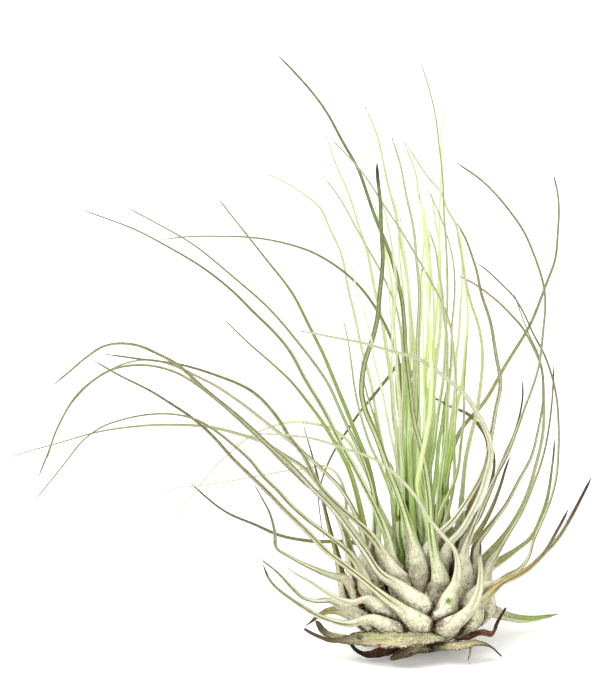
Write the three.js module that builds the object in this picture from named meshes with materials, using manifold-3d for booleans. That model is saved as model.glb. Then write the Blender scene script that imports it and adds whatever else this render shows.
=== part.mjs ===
// An air plant that stands on its own base: a short stem in a bulb of swollen sheaths, and from each
// sheath one thread-like channelled leaf. Millimetres, +Z up, origin in the middle of the stem's foot.
import * as THREE from "three";
import { mergeVertices } from "three/addons/utils/BufferGeometryUtils.js";
import Module from "manifold-3d";

const wasm = await Module();
wasm.setup();

// ---- driving dimensions ----
const STEM_PROFILE = [[8.5, 0], [8.5, 1.2], [6.7, 3.4], [5.2, 9], [3.6, 17], [2.2, 24]]; // radius, height
const STEM_SIDES = 28;
const BULB_RADIUS = 19.5; // out to the seats of the lower ring
const SHEATH_WIDTH = 9.6; // widest part of a clasping leaf base
const SHEATH_THICKNESS = 4.4;
const SHEATH_TAPER = 17; // length over which a sheath narrows into its blade
const SHEATH_LEAST = 0.42; // share of the full sheath size on the axis of the bulb
const HEART_SHEATH_WIDTH = 4.6;
const HEART_SHEATH_THICKNESS = 3;
const HEART_SHEATH_TAPER = 10;
const BLADE_WIDTH = 2.3; // where the sheath has narrowed to the blade
const BLADE_THICKNESS = 1.35;
const TIP_WIDTH = 0.8;
const TIP_THICKNESS = 0.75;
const DEAD_LEAF_THICKNESS = 1.3;
const DEAD_LEAF_CHANNEL = 0.25;
const ROOT_RADIUS = 0.45;
const GAP = 0.32; // clearance between neighbouring pieces
const BLADE_CLEARANCE = 0.5; // kept between the blades of different leaves
const STATION_PITCH = 14; // between the sections along a straight blade
const BEND_WEIGHT = 28; // length that one radian of bend counts as when sections are placed
const BLADE_LEAST = 6; // shortest blade beyond the taper of its sheath

// Width and thickness of a sheath at its root, belly, seat and neck, as shares of its full size.
const SHEATH_WIDTHS = [0.5, 1, 0.84, 0.44];
const SHEATH_THICKNESSES = [0.8, 1, 0.8, 0.52];
const BELLY_RUN = 0.5; // place of the belly between root and seat
const NECK_RUN = 0.4; // place of the neck between seat and blade
// Depth of the channel at the root, the seat, the start of the blade and the tip.
const CHANNEL_DEPTHS = [0.5, 0.7, 0.8, 0.1];

// Where a sheath runs inside the bulb, from its seat down to its root on the stem.
const ROOT_OUT = 0.34; // radius of the root, as a share of the seat's radius
const ROOT_OUT_LEAST = 1.2;
const ROOT_DROP = 0.42; // height lost for each mm from the seat in to the root
const ROOT_SINK = 1.2;
const HEART_ROOT_SINK = 3;
const ROOT_HEIGHT_LEAST = 1.6;
const BELLY_OUT = 0.62; // place of the belly between root and seat, outwards
const BELLY_UP = 0.45; // and upwards
const CHANNEL_RISE = 0.9; // the channel of a root faces the axis, and this much up

// ---- the viewing frame that the leaf routes are written in ----
// A route is given as seen from the front, from slightly above: u to the right and v up, in mm at the
// stem's distance. The depth t runs away from the viewer.
const EYE_TILT = THREE.MathUtils.degToRad(15);
const EYE_DISTANCE = 1100;
const VIEW_MIDDLE_U = -31.9;
const VIEW_MIDDLE_V = 81.4;
const TILT_SIN = Math.sin(EYE_TILT);
const TILT_COS = Math.cos(EYE_TILT);

function intoObject([u, v, t]) {
  const k = 1 + t / EYE_DISTANCE;
  const across = VIEW_MIDDLE_U + (u - VIEW_MIDDLE_U) * k;
  const up = VIEW_MIDDLE_V + (v - VIEW_MIDDLE_V) * k;
  return new THREE.Vector3(across, up * TILT_SIN + t * TILT_COS, up * TILT_COS - t * TILT_SIN);
}

function intoView(x, y, z) {
  const t = y * TILT_COS - z * TILT_SIN;
  const k = 1 + t / EYE_DISTANCE;
  const up = y * TILT_SIN + z * TILT_COS;
  return [(x - VIEW_MIDDLE_U) / k + VIEW_MIDDLE_U, (up - VIEW_MIDDLE_V) / k + VIEW_MIDDLE_V, t];
}

// Depth of a point seen at height v whose place along +Y is y.
const depthOf = (v, y) => y / TILT_COS - v * Math.tan(EYE_TILT);

// ---- finishes ----
const finish = (colour, roughness) => ({ colour, roughness });
const SILVER = finish(0xb4b594, 0.85);
const OLIVE = finish(0x8f9160, 0.8);
const GREEN = finish(0x7f9a4c, 0.7);
const LIME = finish(0x9cc048, 0.6);
const PALE = finish(0xc6cba2, 0.8);
const DARK = finish(0x545c36, 0.75);
const BROWN = finish(0x7a6246, 0.85);
const DEAD = finish(0x9b8a63, 0.9);
const DEAD_DARK = finish(0x3c2420, 0.85);
const STEM_BARK = finish(0x6d5840, 0.95);

// ---- the leaves ----
// Each row: name, finish, seat of the sheath on the bulb (azimuth in degrees from the front, positive
// to the right; height; radius), place of the tip along +Y, and the blade's route "u,v u,v ...". A third
// number in the route is that point's own place along +Y.
const LEAVES = [
  // lower ring
  ["leaf_01", OLIVE, [-1, 12, 19], -32,
    "-5,9.4 -10,13 -15,17 -20,21 -25,25 -30,29.8 -35,34.8 -40,40 -45,44.9 -50,49.9 -57,57.3 -61,61 " +
    "-70,66.6 -80,72 -87.6,76.3"],
  ["leaf_02", SILVER, [-26, 11, 19.5], -40,
    "-12.4,6.4 -19.2,5.2 -25.4,6.6 -31.6,9.9 -36.5,13.5 -40.3,17.5 -42,21"],
  ["leaf_03", SILVER, [-51, 11.5, 19.3], -26,
    "-18,8.8 -21,10.2 -24,11.6 -27,11.4 -31,12.2 -34,14.8 -38,19 -43,23"],
  ["leaf_04", PALE, [24, 11.5, 19.5], -32, "11.6,6.8 14.6,9.6 16.4,13.5 17,18.6 16.8,23 16.9,27.4"],
  ["leaf_05", BROWN, [50, 11.5, 19.3], -38,
    "16,10.5 19,14 23,16.8 27,18.7 30,20.6 32.5,22.8 34.8,25.6 38,31 40.4,36"],
  ["leaf_06", OLIVE, [77, 11, 19.2], -24,
    "19.5,13.5 23,17.6 27,20 29.5,23 31,27.5 33.2,32.5 35.5,38.5 37.3,45 38,52.9 37.8,59 36.3,71.5 " +
    "34,78 31,83.5 28.4,89 25.7,93.6 22.4,97.2 18.6,100.7 15.4,102.9"],
  ["leaf_07", GREEN, [103, 8.5, 19.2], 12, "20.5,8.6 24,7.2 28,6.4 31,6.4 35,7.2 37.8,7.9"],
  ["leaf_08", OLIVE, [128, 10.5, 19.3], 44,
    "16.5,17 19,20 23,22.6 27,25.4 30.5,28.3 33.5,34.5 35.3,41 36.3,48 36.7,55"],
  ["leaf_09", GREEN, [154, 10.5, 19.3], 78, "8,20,22 7,29,36 4,34.5,52 1,38,66 -1.5,39,78"],
  ["leaf_10", OLIVE, [-178, 10, 19.3], 93, "-1,19,25 -3,30,38 -5,40,54 -7,47,70 -9,50,84 -10,50,93"],
  ["leaf_11", DARK, [-152, 11, 19], 72,
    "-10,21 -12.4,25.6 -17.6,27 -29.7,27.4 -39.2,29.8 -44.6,32 -54.5,37 -61.8,43.2"],
  ["leaf_12", PALE, [-127, 10.5, 19.3], 62,
    "-17,20 -19,28 -19.5,36 -20.4,42 -22.8,46.2 -26,47.8 -30,47.3 -35,46.8 -45,44.7 -55,43.2 -65,41.8 " +
    "-73.7,41.3"],
  ["leaf_13", DARK, [-102, 11, 19.2], 34,
    "-20.6,17 -22,24 -24,31 -25.3,37 -26.8,44 -28.5,50.5 -29.8,55 -31,59.5"],
  ["leaf_14", BROWN, [-76, 10, 19.2], -10, "-21,8.6 -24,8.6 -27,7.2 -29,5.6 -30.5,4.6"],
  // second ring
  ["leaf_15", SILVER, [0, 17, 16.5], -22,
    "-5,15.2 -10.5,18.8 -14.3,24.4 -19.2,31 -24,37.3 -30,43.3 -35,48.3 -43.5,56.5 -50,62.2 -60,70.6 " +
    "-66,75.8 -70,78 -75,80.1 -79.5,80.7 -85,80 -90,77 -95,72.5 -98.5,69.5"],
  ["leaf_16", PALE, [-33, 14, 18], -38, "-14.3,11.9 -18,11 -22,12 -25,13.7 -30,17 -33,18.6 -35.2,20.2"],
  ["leaf_17", PALE, [22, 15, 18], -48,
    "8.6,12.5 10.4,16 11,20 10.2,24.5 6.5,29.3 3,33.5 0,38.4 -4,43.6 -8,47.2 -13,50 -20,52.6 -27,54.7 " +
    "-36,56.3 -43,56.4"],
  ["leaf_18", OLIVE, [49, 16, 18], -28,
    "16.5,14 20,15.4 25,17.2 30,20 33.2,23.2 37.3,27.8 41.3,33.8 44.3,39.7 46.7,44.6"],
  ["leaf_19", OLIVE, [80, 16, 17.8], 12,
    "19,19.5 21.5,24.5 24.6,29.8 27.8,35.1 31,42.7 34.6,54.8 35.9,62.6 36.5,75.3"],
  ["leaf_20", SILVER, [112, 16, 17.6], 48,
    "18,22 22,27 26,33 29.5,40 32,48 33.6,57 34,66 33.4,74 30.5,81 28.4,84.8 24.6,89.1 20.8,92.9 " +
    "16.2,96.4 10.8,99.1"],
  ["leaf_21", OLIVE, [142, 15.5, 17.6], 70,
    "9.5,26 8,35 8,45 11,56.4 17.6,64.8 22.1,72.4 26.7,79.7 31,87.8 35.1,98 37,103.7 37.8,111.2 " +
    "37.5,122.6 36.7,126.6"],
  ["leaf_22", GREEN, [172, 16, 17.6], 98,
    "3,30,26 4.5,43,37 6,56,50 7.5,66,64 8.5,72.5,78 9,75,90 9,75,98"],
  ["leaf_23", PALE, [-160, 15.5, 17.6], 82,
    "-7.5,28 -11,38 -15,48 -19,54.5 -24,58 -28,59.1 -32,59.6 -36,59.3 -42,57.6 -50,52 -54,48.5 " +
    "-60,40.8 -68,31"],
  ["leaf_24", GREEN, [-132, 16, 17.6], 62,
    "-14.5,27 -16,37 -18.5,46 -22,53 -25.5,59.3 -30,65 -35,71.3 -40,76 -45,80.3 -50,84.9 -52.4,87.3"],
  ["leaf_25", SILVER, [-104, 16, 17.6], 38,
    "-18.5,23 -20.5,31 -24,38.5 -28,44 -31,47.2 -36,50.5 -42,54.3 -50,56.9 -60,58.6 -68,59.1 -80,58 " +
    "-88,56.7 -100,53.2 -110.8,50"],
  ["leaf_26", OLIVE, [-74, 17, 18], -14,
    "-19.5,17.3 -23,18.2 -30,21 -35,23.6 -38.3,25.8 -38.7,30 -40,35 -42.3,39.2 -44.8,43.6"],
  ["leaf_27", OLIVE, [-53, 17.5, 17.2], -50,
    "-15.3,19 -17.2,22.6 -20,25.7 -25,29.6 -30,33.4 -35,38 -38,41.2 -42,45 -45,48.8 -50,53.6 -55,57.5 " +
    "-60,60.2 -69,62 -75,61.6 -80,60.4 -85,58.5 -90,55 -95,49.3 -100,43 -103.8,38"],
  // third ring
  ["leaf_28", SILVER, [-60, 21.5, 14.5], 8,
    "-14.2,24.5 -18,31 -22,36 -26,39.7 -30,42.5 -35,47.5 -40,52.5 -45,57 -55,66.2 -60,70 -64,72.4 " +
    "-75,75 -83,73.8 -90,69 -95,62.5 -98,57 -100,51 -102.5,44.5"],
  ["leaf_29", OLIVE, [-28, 22.5, 12.5], -8,
    "-9,23 -12,28 -17,33 -22,37.3 -26.5,42 -28,44.5 -31,50.5 -35,56 -37,59.5 -40,63.3 -45,67.8 " +
    "-50,70.6 -55,72.6 -64,75 -75,76.7 -84.7,78"],
  ["leaf_30", GREEN, [24, 21, 13.5], -18,
    "4.6,24 3.4,31 2.4,40 0.6,50 -1.4,60 -2.8,72 -3.6,84 -4.9,95 -6.9,103 -10,111 -13.5,120.5 " +
    "-17,129.5 -20,135 -25,143.5 -30,150.5 -35,155.8 -38,158.6"],
  ["leaf_31", SILVER, [57, 21, 14.5], -38,
    "12.6,24 14.5,30 17.6,37.5 20.5,43.8 24.3,50.8 28.6,62.6 32.4,74.3 33.8,82.9 34.3,90.5 33.8,96.1 " +
    "32.1,103.1 29.4,109.4 25.7,115.3 21.9,120.2 17.3,124.7 10.3,129.9"],
  ["leaf_32", OLIVE, [94, 21, 14.5], 6,
    "15.5,26 19,31 23.5,37 27.3,44 30.4,50 32.1,56.7 33.2,62 34,68 33.5,73 32.4,77.5 29.7,83.4 " +
    "27.4,90 25.6,95.8"],
  ["leaf_33", BROWN, [124, 21, 14.2], 38,
    "12,28.5 13.5,34.5 15.8,39.9 18.4,46.4 19.2,51.6 18.6,55.6 16.2,59.1 13.5,61.6 9.5,63.5 5.7,65.6 " +
    "1.9,67.2"],
  ["leaf_34", PALE, [160, 21, 14.2], 88,
    "4.4,32 3,44 1.8,56 2,68 2.6,80 3,90 3.2,100 2.6,109.5 2,113 0,122 -1,128 -3.7,135"],
  ["leaf_35", PALE, [-162, 21, 14.2], 86,
    "-6,33 -8,44 -9.5,52 -11.5,63 -14,75 -16.5,85 -18.9,96.1 -21.1,105.8 -24,112.3 -26.2,116.9 " +
    "-30.2,120.7 -35.9,124.5 -42.4,126.9"],
  ["leaf_36", GREEN, [-126, 21, 14.2], 58,
    "-11.5,31 -12,40 -14,49 -17.5,58 -22,69 -27,80.7 -33,92.5 -40,102.5 -47,111 -54.3,120.5"],
  ["leaf_37", SILVER, [-93, 21.5, 14.3], 22,
    "-14.6,28 -17.5,36 -22,43 -25,45.9 -29,49.6 -35,55 -40,58.8 -45,62.6 -50,66.3 -55,69.7 -60,72.3 " +
    "-64,74.2 -73,76.4 -80,75.3 -87,71.5 -92,66.6 -98.5,55.5 -100.2,49.8"],
  // upper ring
  ["leaf_38", GREEN, [-2, 25, 9.5], -48,
    "-1.6,28.5 -3.6,35 -6,42 -9,49.5 -12.2,57.8 -14.6,64.3 -15.4,68 -15.1,72.4 -12.2,82.4 -10,96.9 " +
    "-9.7,107.7 -10.3,118.3 -11.1,129.6"],
  ["leaf_39", GREEN, [-45, 25, 10.2], -42,
    "-8.4,28 -11.5,36 -15,43 -18.5,49.5 -21.5,55 -25,61.5 -30,70.5 -35,79 -39.5,84.5 -45,90 -50,94.9 " +
    "-60,102.5 -70,108.5 -80,113 -85,115 -91,117.3"],
  ["leaf_40", PALE, [38, 25, 10], -62,
    "8.4,26.5 11.5,30 15,36 18.2,44 19.6,50.8 18.6,57 15.1,63.5 7.3,71.6 0.5,75.9 -6.5,78.6 " +
    "-12.4,80.2 -20.5,82.1 -31.9,84.2"],
  ["leaf_41", OLIVE, [84, 25.5, 10], -2,
    "12.4,28 16.4,34 19,40 21.4,46 23.5,51 25.6,55.7 27.3,62 28.1,68 28,71.3"],
  ["leaf_42", PALE, [130, 25, 10], 36,
    "10.8,30 12,40 13,50 14.6,57 16.2,64 17.3,74 17.2,80 16.2,86.7 14.3,92.3 12.7,98 11.3,107.5 " +
    "10,113.7 8.1,116.6 6.2,121.5 2.7,125.8 -3.5,135"],
  ["leaf_43", DARK, [-178, 25, 10], 55,
    "-1,35 -0.5,50 -0.5,64 -2,73 -5,75 -8,72 -13,65.5 -17,60.5 -22,53 -24.5,48 -26.2,43 -26.9,38.5 " +
    "-26.4,33 -25.2,27.5"],
  ["leaf_44", GREEN, [-88, 25, 10], -14,
    "-10.6,31 -12,40 -14.6,49 -18,56.5 -21,63 -25,71 -28,75.5 -35,84.5 -45,94.7 -55,103.2 -63,109 " +
    "-70,113.1 -78.8,117.8"],
  ["leaf_45", SILVER, [14, 27, 7.6], -58,
    "5,29 9,33.5 14.5,40.5 18.4,47.5 19.8,56.7 21,62.4 22.1,67.8 21.3,76.7 18.9,88.6 17,95 15.1,102.6 " +
    "13.2,108.5 10.3,113.4"],
  ["leaf_46", DARK, [68, 23, 12.5], -14, "12.5,25.5 15.5,29 18.5,33.6 20.5,38 22,42.5 23.3,47 24.8,50.5"],
  ["leaf_47", DARK, [106, 25.5, 10.6], 26, "12,28 15,32.6 18,37.8 20,44 20.6,49 20.1,53.3"],
];

// Heart leaves, same rows; each of the two heads is one node.
const HEART_FRONT = [
  ["a", GREEN, [-50, 28, 4.5], 20,
    "-4.2,45 -4.2,60 -4.4,72 -4.9,84 -6.2,91.3 -8.1,95.9 -13,105.3 -20,118 -25.8,126.3"],
  ["b", SILVER, [10, 29, 3], -24,
    "-0.4,45 -0.5,60 -0.4,75 0.2,90 0,100 -1,109.5 -3,120.5 -4.5,127.5 -7,136.5"],
  ["c", GREEN, [60, 29, 3.4], -5,
    "3,45 4.5,54 5.6,62 6.7,72 7.4,80 7.8,90 7.8,100 7.4,110 6.7,122.5 6,131 5,141 3,149 0.7,156.8"],
  ["d", LIME, [-20, 29, 3.4], -10, "-2.2,48 -2.4,62 -2.2,76 -2.3,88 -3,99 -4,108 -5,115"],
  ["e", LIME, [30, 28, 4.8], -12, "0.2,48 0.3,62 0.2,76 0.6,88 0.9,98 1.4,108 1.2,116 0.6,121"],
  ["f", PALE, [-35, 28, 5], -30,
    "-4.6,50 -5,64 -6,76 -6.4,85 -6.2,93 -6.3,101 -6.9,108 -8.2,114 -9.5,119"],
  ["g", GREEN, [44, 28, 5], -66, "6,44 7.4,54 8,66 7.9,78 7,90 5.7,100 4.2,108 3,111.5"],
  ["h", DARK, [72, 28, 5], -35, "7,36 10.5,46 12,57 12.4,68 13,78 13.2,83"],
  ["i", GREEN, [-62, 28, 5], -20, "-6,36 -9.5,46 -13,54 -15.8,62 -17,68 -17.8,74 -19,82 -20.5,88"],
  ["j", PALE, [-76, 28, 5], -60,
    "-4.5,40 -6,50 -8,60 -9.8,68 -11.5,76 -13.6,86 -15.7,93 -18.5,103 -20.8,112"],
  ["k", LIME, [95, 28.5, 4], -52, "1.2,45 1.6,58 1.4,72 1.2,86 1.4,96 1.9,106 1.6,114 0.8,119.5"],
  ["l", PALE, [-95, 28, 4.6], -20, "-5.4,42 -6,56 -6.8,70 -7.2,84 -7.8,96 -9.2,106 -10.8,113"],
  ["m", LIME, [25, 28, 5.4], -70, "1,44 2.6,56 3.6,68 3.4,80 2.6,92 1.2,101"],
];
const HEART_BACK = [
  ["a", PALE, [-170, 29, 3], 14,
    "-1.2,45 -1,60 -1.1,75 -1.6,85 -2.7,95 -3.7,103 -5,110.5 -8,123.5 -10,132.5 -12,139.5 -14.3,145"],
  ["b", LIME, [120, 29, 3.6], 30,
    "1.4,46 1.8,56 2.4,64 3.5,72 4.3,80 5,90 5.6,100 5.8,110 5.9,118 6.2,130 6.9,145.5"],
  ["c", OLIVE, [100, 28, 5], 10,
    "5,40 6.5,50 7.5,60 8.2,68 8.9,76.4 9.2,84.5 9.7,92.3 9.7,98 9.2,104.8 7.6,111 5.7,115.8 " +
    "1.6,123.9"],
  ["d", LIME, [-140, 28, 4.6], 45, "-3,46 -3,60 -3.3,74 -3.8,86 -4.4,97 -5,106 -5.7,114 -6.2,120"],
  ["e", LIME, [160, 28, 5], 66, "2,46 2.2,58 2,70 2.6,82 2.8,92 2.7,102 2.2,111 1.5,118"],
  ["f", PALE, [145, 28, 5], 48, "3.2,46 4,56 4.3,68 4.4,80 4.2,92 3.6,100 3.3,108"],
  ["g", LIME, [128, 28, 5.4], 60, "7,42 9,54 11,66 12.8,78 13.4,88 12.9,96 12.2,104 11.2,112.5"],
  ["h", GREEN, [-110, 28, 5], 35, "-5.5,38 -8,47 -10.6,56 -12.8,64 -14.6,71.5 -15.5,77"],
  ["i", DARK, [-125, 28, 5], 26,
    "-4.6,38 -4.4,50 -4.6,64 -5.4,77.2 -8.1,84.8 -13,92.5 -20,100.2 -28,105.2 -36.5,108 -47,109.6 " +
    "-57.5,109.9 -69.4,108.8"],
  ["j", PALE, [-158, 28, 5], 60,
    "-3,38 -5,50 -6.6,62 -7.5,72 -9,82 -10.8,91.5 -12.4,99 -15,109.5 -17.5,117.5 -22,129 -25,137"],
  ["k", OLIVE, [82, 28, 5.2], -40,
    "7.2,36 9,46 9.8,58 10,73.7 9.2,81.8 7.6,88.8 4.9,95 1.6,101 -3.5,109 -8.9,117.7 -14.3,125.6 " +
    "-19.7,132.3 -23.8,136.6"],
  ["l", GREEN, [-160, 28, 5.2], 74, "-2.8,44 -3,58 -3.2,70 -3.4,82 -4.4,92 -6,101 -8.6,108"],
  ["m", PALE, [155, 28.5, 4.2], 38, "1.8,46 3.2,60 4.9,74 5.9,86 6.1,97 5.7,107 4.6,115 3.6,121.5"],
  ["n", LIME, [-150, 28, 5], 52, "-3,44 -4.4,56 -5.6,68 -6.2,80 -6.8,92 -8,102 -9.8,111 -11.6,118"],
  ["o", PALE, [140, 28, 5.4], 72, "6,40 8.4,52 9.6,64 10.4,76 11.3,88 11.9,98 11.9,107"],
];

// ---- dead leaves and the root ----
// Centre line in object space, half widths along it, and which way the flat side faces. They lie on the
// ground plane or just over it.
const UP = [0, 0, 1];
const DEAD_LEAVES = [
  ["dead_leaf_01", DEAD,
    [[7, -13, 5], [4.6, -18.8, 8], [0, -21.2, 8.7], [-5, -21.8, 8.6], [-11, -20.6, 8.1],
      [-15.7, -18.8, 7.7], [-20, -16.8, 6.9], [-24, -15.2, 6.2], [-28.4, -14, 7.4], [-30.8, -13.4, 8.6]],
    [0.8, 1.2, 1.8, 2.3, 2.6, 2.5, 2, 0.9, 0.5, 0.4], [0.5, -0.5, 0.7]],
  ["dead_leaf_02", DEAD,
    [[4, -9.5, 2.8], [4.8, -14, 4], [7.4, -17.4, 5.4], [11, -18.6, 5.9], [14.6, -17.8, 6.2],
      [18.4, -16.3, 4.8], [21.7, -15, 1.6]],
    [1.5, 1.6, 1.9, 2, 1.3, 0.8, 0.4], [-0.6, 0, 0.8]],
  ["dead_leaf_03", DEAD,
    [[1, -9, 2.6], [1.4, -14.2, 3.8], [-0.4, -18.6, 5.4], [-4, -20.6, 4.6], [-8, -20.2, 2.6]],
    [1.5, 1.4, 1.6, 2.3, 0.6], [0.6, 0, 0.8]],
  ["dead_leaf_04", DEAD_DARK,
    [[-5.6, -5.6, 1.9], [-8, -11, 1.8], [-10.8, -14.2, 2.1], [-14, -15, 1.9], [-16.6, -14.6, 2.9],
      [-18.5, -13.4, 4.6]],
    [1.6, 2, 1.9, 1.5, 0.8, 0.45], [0.5, 0, 0.86]],
  ["dead_leaf_05", DEAD_DARK,
    [[10, -3, 2.6], [14, -5.4, 3.8], [17.4, -7.4, 5.6], [19.2, -8, 5.3], [20.9, -8.6, 9],
      [23.1, -9, 13]],
    [1.4, 1.5, 1.2, 0.95, 0.7, 0.45], [0, -0.5, 0.86]],
  ["dead_leaf_06", DEAD,
    [[4.6, 6.2, 1.9], [10, 13, 0.9], [14.5, 17.5, 0.6], [18.5, 21, 1.2], [20, 25, 3.2]],
    [2, 3.2, 3, 1.8, 0.6], UP],
  ["dead_leaf_07", DEAD_DARK,
    [[-3, 7.2, 1.9], [-7, 15, 0.8], [-12, 19.4, 0.6], [-18, 21, 1.6], [-22.5, 19.5, 3.6]],
    [2, 3.2, 2.6, 1.6, 0.6], UP],
  ["dead_leaf_08", DEAD,
    [[-7.6, 0.8, 1.9], [-15, 1.4, 0.8], [-20.5, 3, 0.6], [-25, 6.4, 1], [-27.4, 10.5, 2.6]],
    [2, 3, 2.6, 1.5, 0.6], UP],
];
const DEAD_LEAF_EXTRA_SECTIONS = 3;
const ROOT_ROUTE = [[9.4, -11, 4.6], [11.6, -13.2, 4.6], [12.9, -15.2, 4.8], [13, -21, 4],
  [12.7, -21.8, 1], [13.4, -22.4, 0.5]];
const ROOT_SECTIONS = 9;

// ---- smooth curves ----
const distance = (a, b) => Math.hypot(...a.map((value, n) => value - b[n]));

// Running length of a polyline up to each of its points.
function runningLengths(points) {
  const runs = [0];
  for (let i = 1; i < points.length; i++) runs.push(runs[i - 1] + distance(points[i], points[i - 1]));
  return runs;
}

// Smooth curve through the points, sampled evenly by the chord length between them.
function throughPoints(points, count) {
  const last = points.length - 1;
  const at = runningLengths(points);
  const slopes = points.slice(1).map((p, i) =>
    p.map((value, n) => (value - points[i][n]) / (at[i + 1] - at[i])));
  const tangents = points.map((p, i) => {
    if (i === 0) return slopes[0];
    if (i === last) return slopes[last - 1];
    const before = at[i] - at[i - 1];
    const after = at[i + 1] - at[i];
    return p.map((_, n) => (slopes[i - 1][n] * after + slopes[i][n] * before) / (before + after));
  });
  const samples = [];
  let i = 0;
  for (let k = 0; k < count; k++) {
    const s = (at[last] * k) / (count - 1);
    while (i < last - 1 && s > at[i + 1]) i++;
    const h = at[i + 1] - at[i];
    const x = (s - at[i]) / h;
    const toNext = 3 * x ** 2 - 2 * x ** 3;
    const leaving = (x ** 3 - 2 * x ** 2 + x) * h;
    const arriving = (x ** 3 - x ** 2) * h;
    samples.push(points[i].map((value, n) => {
      const straight = value + (points[i + 1][n] - value) * toNext;
      return straight + tangents[i][n] * leaving + tangents[i + 1][n] * arriving;
    }));
  }
  return samples;
}

// Value at x of the straight lines through the places and their values.
function along(places, values, x) {
  let i = 0;
  while (i < places.length - 2 && x > places[i + 1]) i++;
  const f = THREE.MathUtils.clamp((x - places[i]) / (places[i + 1] - places[i]), 0, 1);
  return values[i] + (values[i + 1] - values[i]) * f;
}

// ---- leaf centre lines ----
const SAMPLES = 90;
const LEAN_LEAST = 1.25; // power by which a blade leans out of the picture plane towards its tip
const LEAN_SPREAD = 0.75;
const GOLDEN_SHARE = 0.618; // spreads the lean over neighbouring leaves

// Centre line of one leaf in the viewing frame: root beside the stem, belly, seat, then its route.
function centreLine(row, order, head) {
  const [name, look, [azimuth, height, radius], tipY, route] = row;
  const angle = THREE.MathUtils.degToRad(azimuth);
  const onBulb = (r, z) => intoView(r * Math.sin(angle), -r * Math.cos(angle), z);
  const sink = head ? HEART_ROOT_SINK : ROOT_SINK;
  const rootRadius = Math.max(ROOT_OUT_LEAST, radius * ROOT_OUT);
  const rootHeight = Math.max(ROOT_HEIGHT_LEAST, height - ROOT_DROP * (radius - rootRadius) - sink);
  const bellyRadius = rootRadius + (radius - rootRadius) * BELLY_OUT;
  const bellyHeight = rootHeight + (height - rootHeight) * BELLY_UP;
  const seat = onBulb(radius, height);
  const controls = [onBulb(rootRadius, rootHeight), onBulb(bellyRadius, bellyHeight), seat];

  const seatY = -radius * Math.cos(angle);
  const blade = route.split(" ").map((point) => point.split(",").map(Number));
  const runs = runningLengths([seat, ...blade].map(([u, v]) => [u, v]));
  const lean = LEAN_LEAST + LEAN_SPREAD * ((order * GOLDEN_SHARE) % 1);
  blade.forEach(([u, v, y], i) => {
    const leaning = seatY + (tipY - seatY) * (runs[i + 1] / runs.at(-1)) ** lean;
    controls.push([u, v, depthOf(v, y ?? leaning)]);
  });
  const controlRuns = runningLengths(controls);
  const seatShare = controlRuns[2] / controlRuns.at(-1);
  const fullness = head ? 1 : SHEATH_LEAST + (1 - SHEATH_LEAST) * (radius / BULB_RADIUS);
  return { name, look, head, line: throughPoints(controls, SAMPLES), seatShare, fullness };
}

// Leaves that would run through each other are bent apart, mostly in depth, so that each nearly keeps
// its route as seen from the front. Each pass pushes the close samples of two blades apart and spreads
// the push along them, widely in the first passes and narrowly in the last.
const PASSES = 140;
const SPREAD_FIRST = 120; // rounds that spread a push along the blade
const SPREAD_LAST = 12;
const PUSH_MOST = 1.6; // strengthening of a push that has spread out
const PUSH_SHARE = 0.5; // each of two close blades gives way by half
const APART_LEAST = 0.01;
const SIDEWAYS = 0.45; // share of a push that is kept across the view
const STIFF_RUN = 0.02; // shares of the leaf beyond its seat over which it becomes free to bend
const FREE_RUN = 0.2;

function bendClear(leaves) {
  const near = closePairs(leaves);
  const freedom = leaves.map(({ line, seatShare }) =>
    line.map((_, k) => THREE.MathUtils.smoothstep(shareAt(k), seatShare + STIFF_RUN, seatShare + FREE_RUN)));
  for (let pass = 0; pass < PASSES; pass++) {
    const rounds = THREE.MathUtils.lerp(SPREAD_FIRST, SPREAD_LAST, pass / (PASSES - 1));
    const pushes = leaves.map(({ line }) => line.map(() => [0, 0, 0]));
    for (const { one, other, need } of near) {
      const p = leaves[one.leaf].line[one.k];
      const q = leaves[other.leaf].line[other.k];
      const apart = Math.max(APART_LEAST, distance(p, q));
      if (apart >= need) continue;
      const reach = (PUSH_SHARE * (need - apart)) / apart;
      const push = [
        (p[0] - q[0]) * reach * SIDEWAYS,
        (p[1] - q[1]) * reach * SIDEWAYS,
        (p[2] - q[2]) * reach,
      ];
      keepStronger(pushes[one.leaf], one.k, push);
      keepStronger(pushes[other.leaf], other.k, push.map((value) => -value));
    }
    leaves.forEach(({ line }, i) => {
      const strongest = peak(pushes[i]);
      if (strongest === 0) return;
      const spread = spreadOut(pushes[i], rounds);
      const gain = Math.min(PUSH_MOST, strongest / peak(spread));
      line.forEach((point, k) => {
        for (let n = 0; n < 3; n++) point[n] += gain * spread[k][n] * freedom[i][k];
      });
    });
  }
}

const shareAt = (k) => k / (SAMPLES - 1);
const peak = (vectors) => Math.max(...vectors.map((vector) => Math.hypot(...vector)));

function keepStronger(pushes, k, push) {
  if (Math.hypot(...push) > Math.hypot(...pushes[k])) pushes[k] = push;
}

function spreadOut(vectors, rounds) {
  let spread = vectors;
  for (let round = 0; round < rounds; round++) {
    spread = spread.map((vector, k) => {
      const before = spread[Math.max(0, k - 1)];
      const after = spread[Math.min(SAMPLES - 1, k + 1)];
      return vector.map((value, n) => (before[n] + 2 * value + after[n]) / 4);
    });
  }
  return spread;
}

// Pairs of samples of different leaves that lie close together as seen from the front, with the
// distance that they need. Leaves of one heart head are joined, so they may meet.
const LOOK_AROUND = 3.5; // how far blades may be apart and still come close while they are bent

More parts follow.
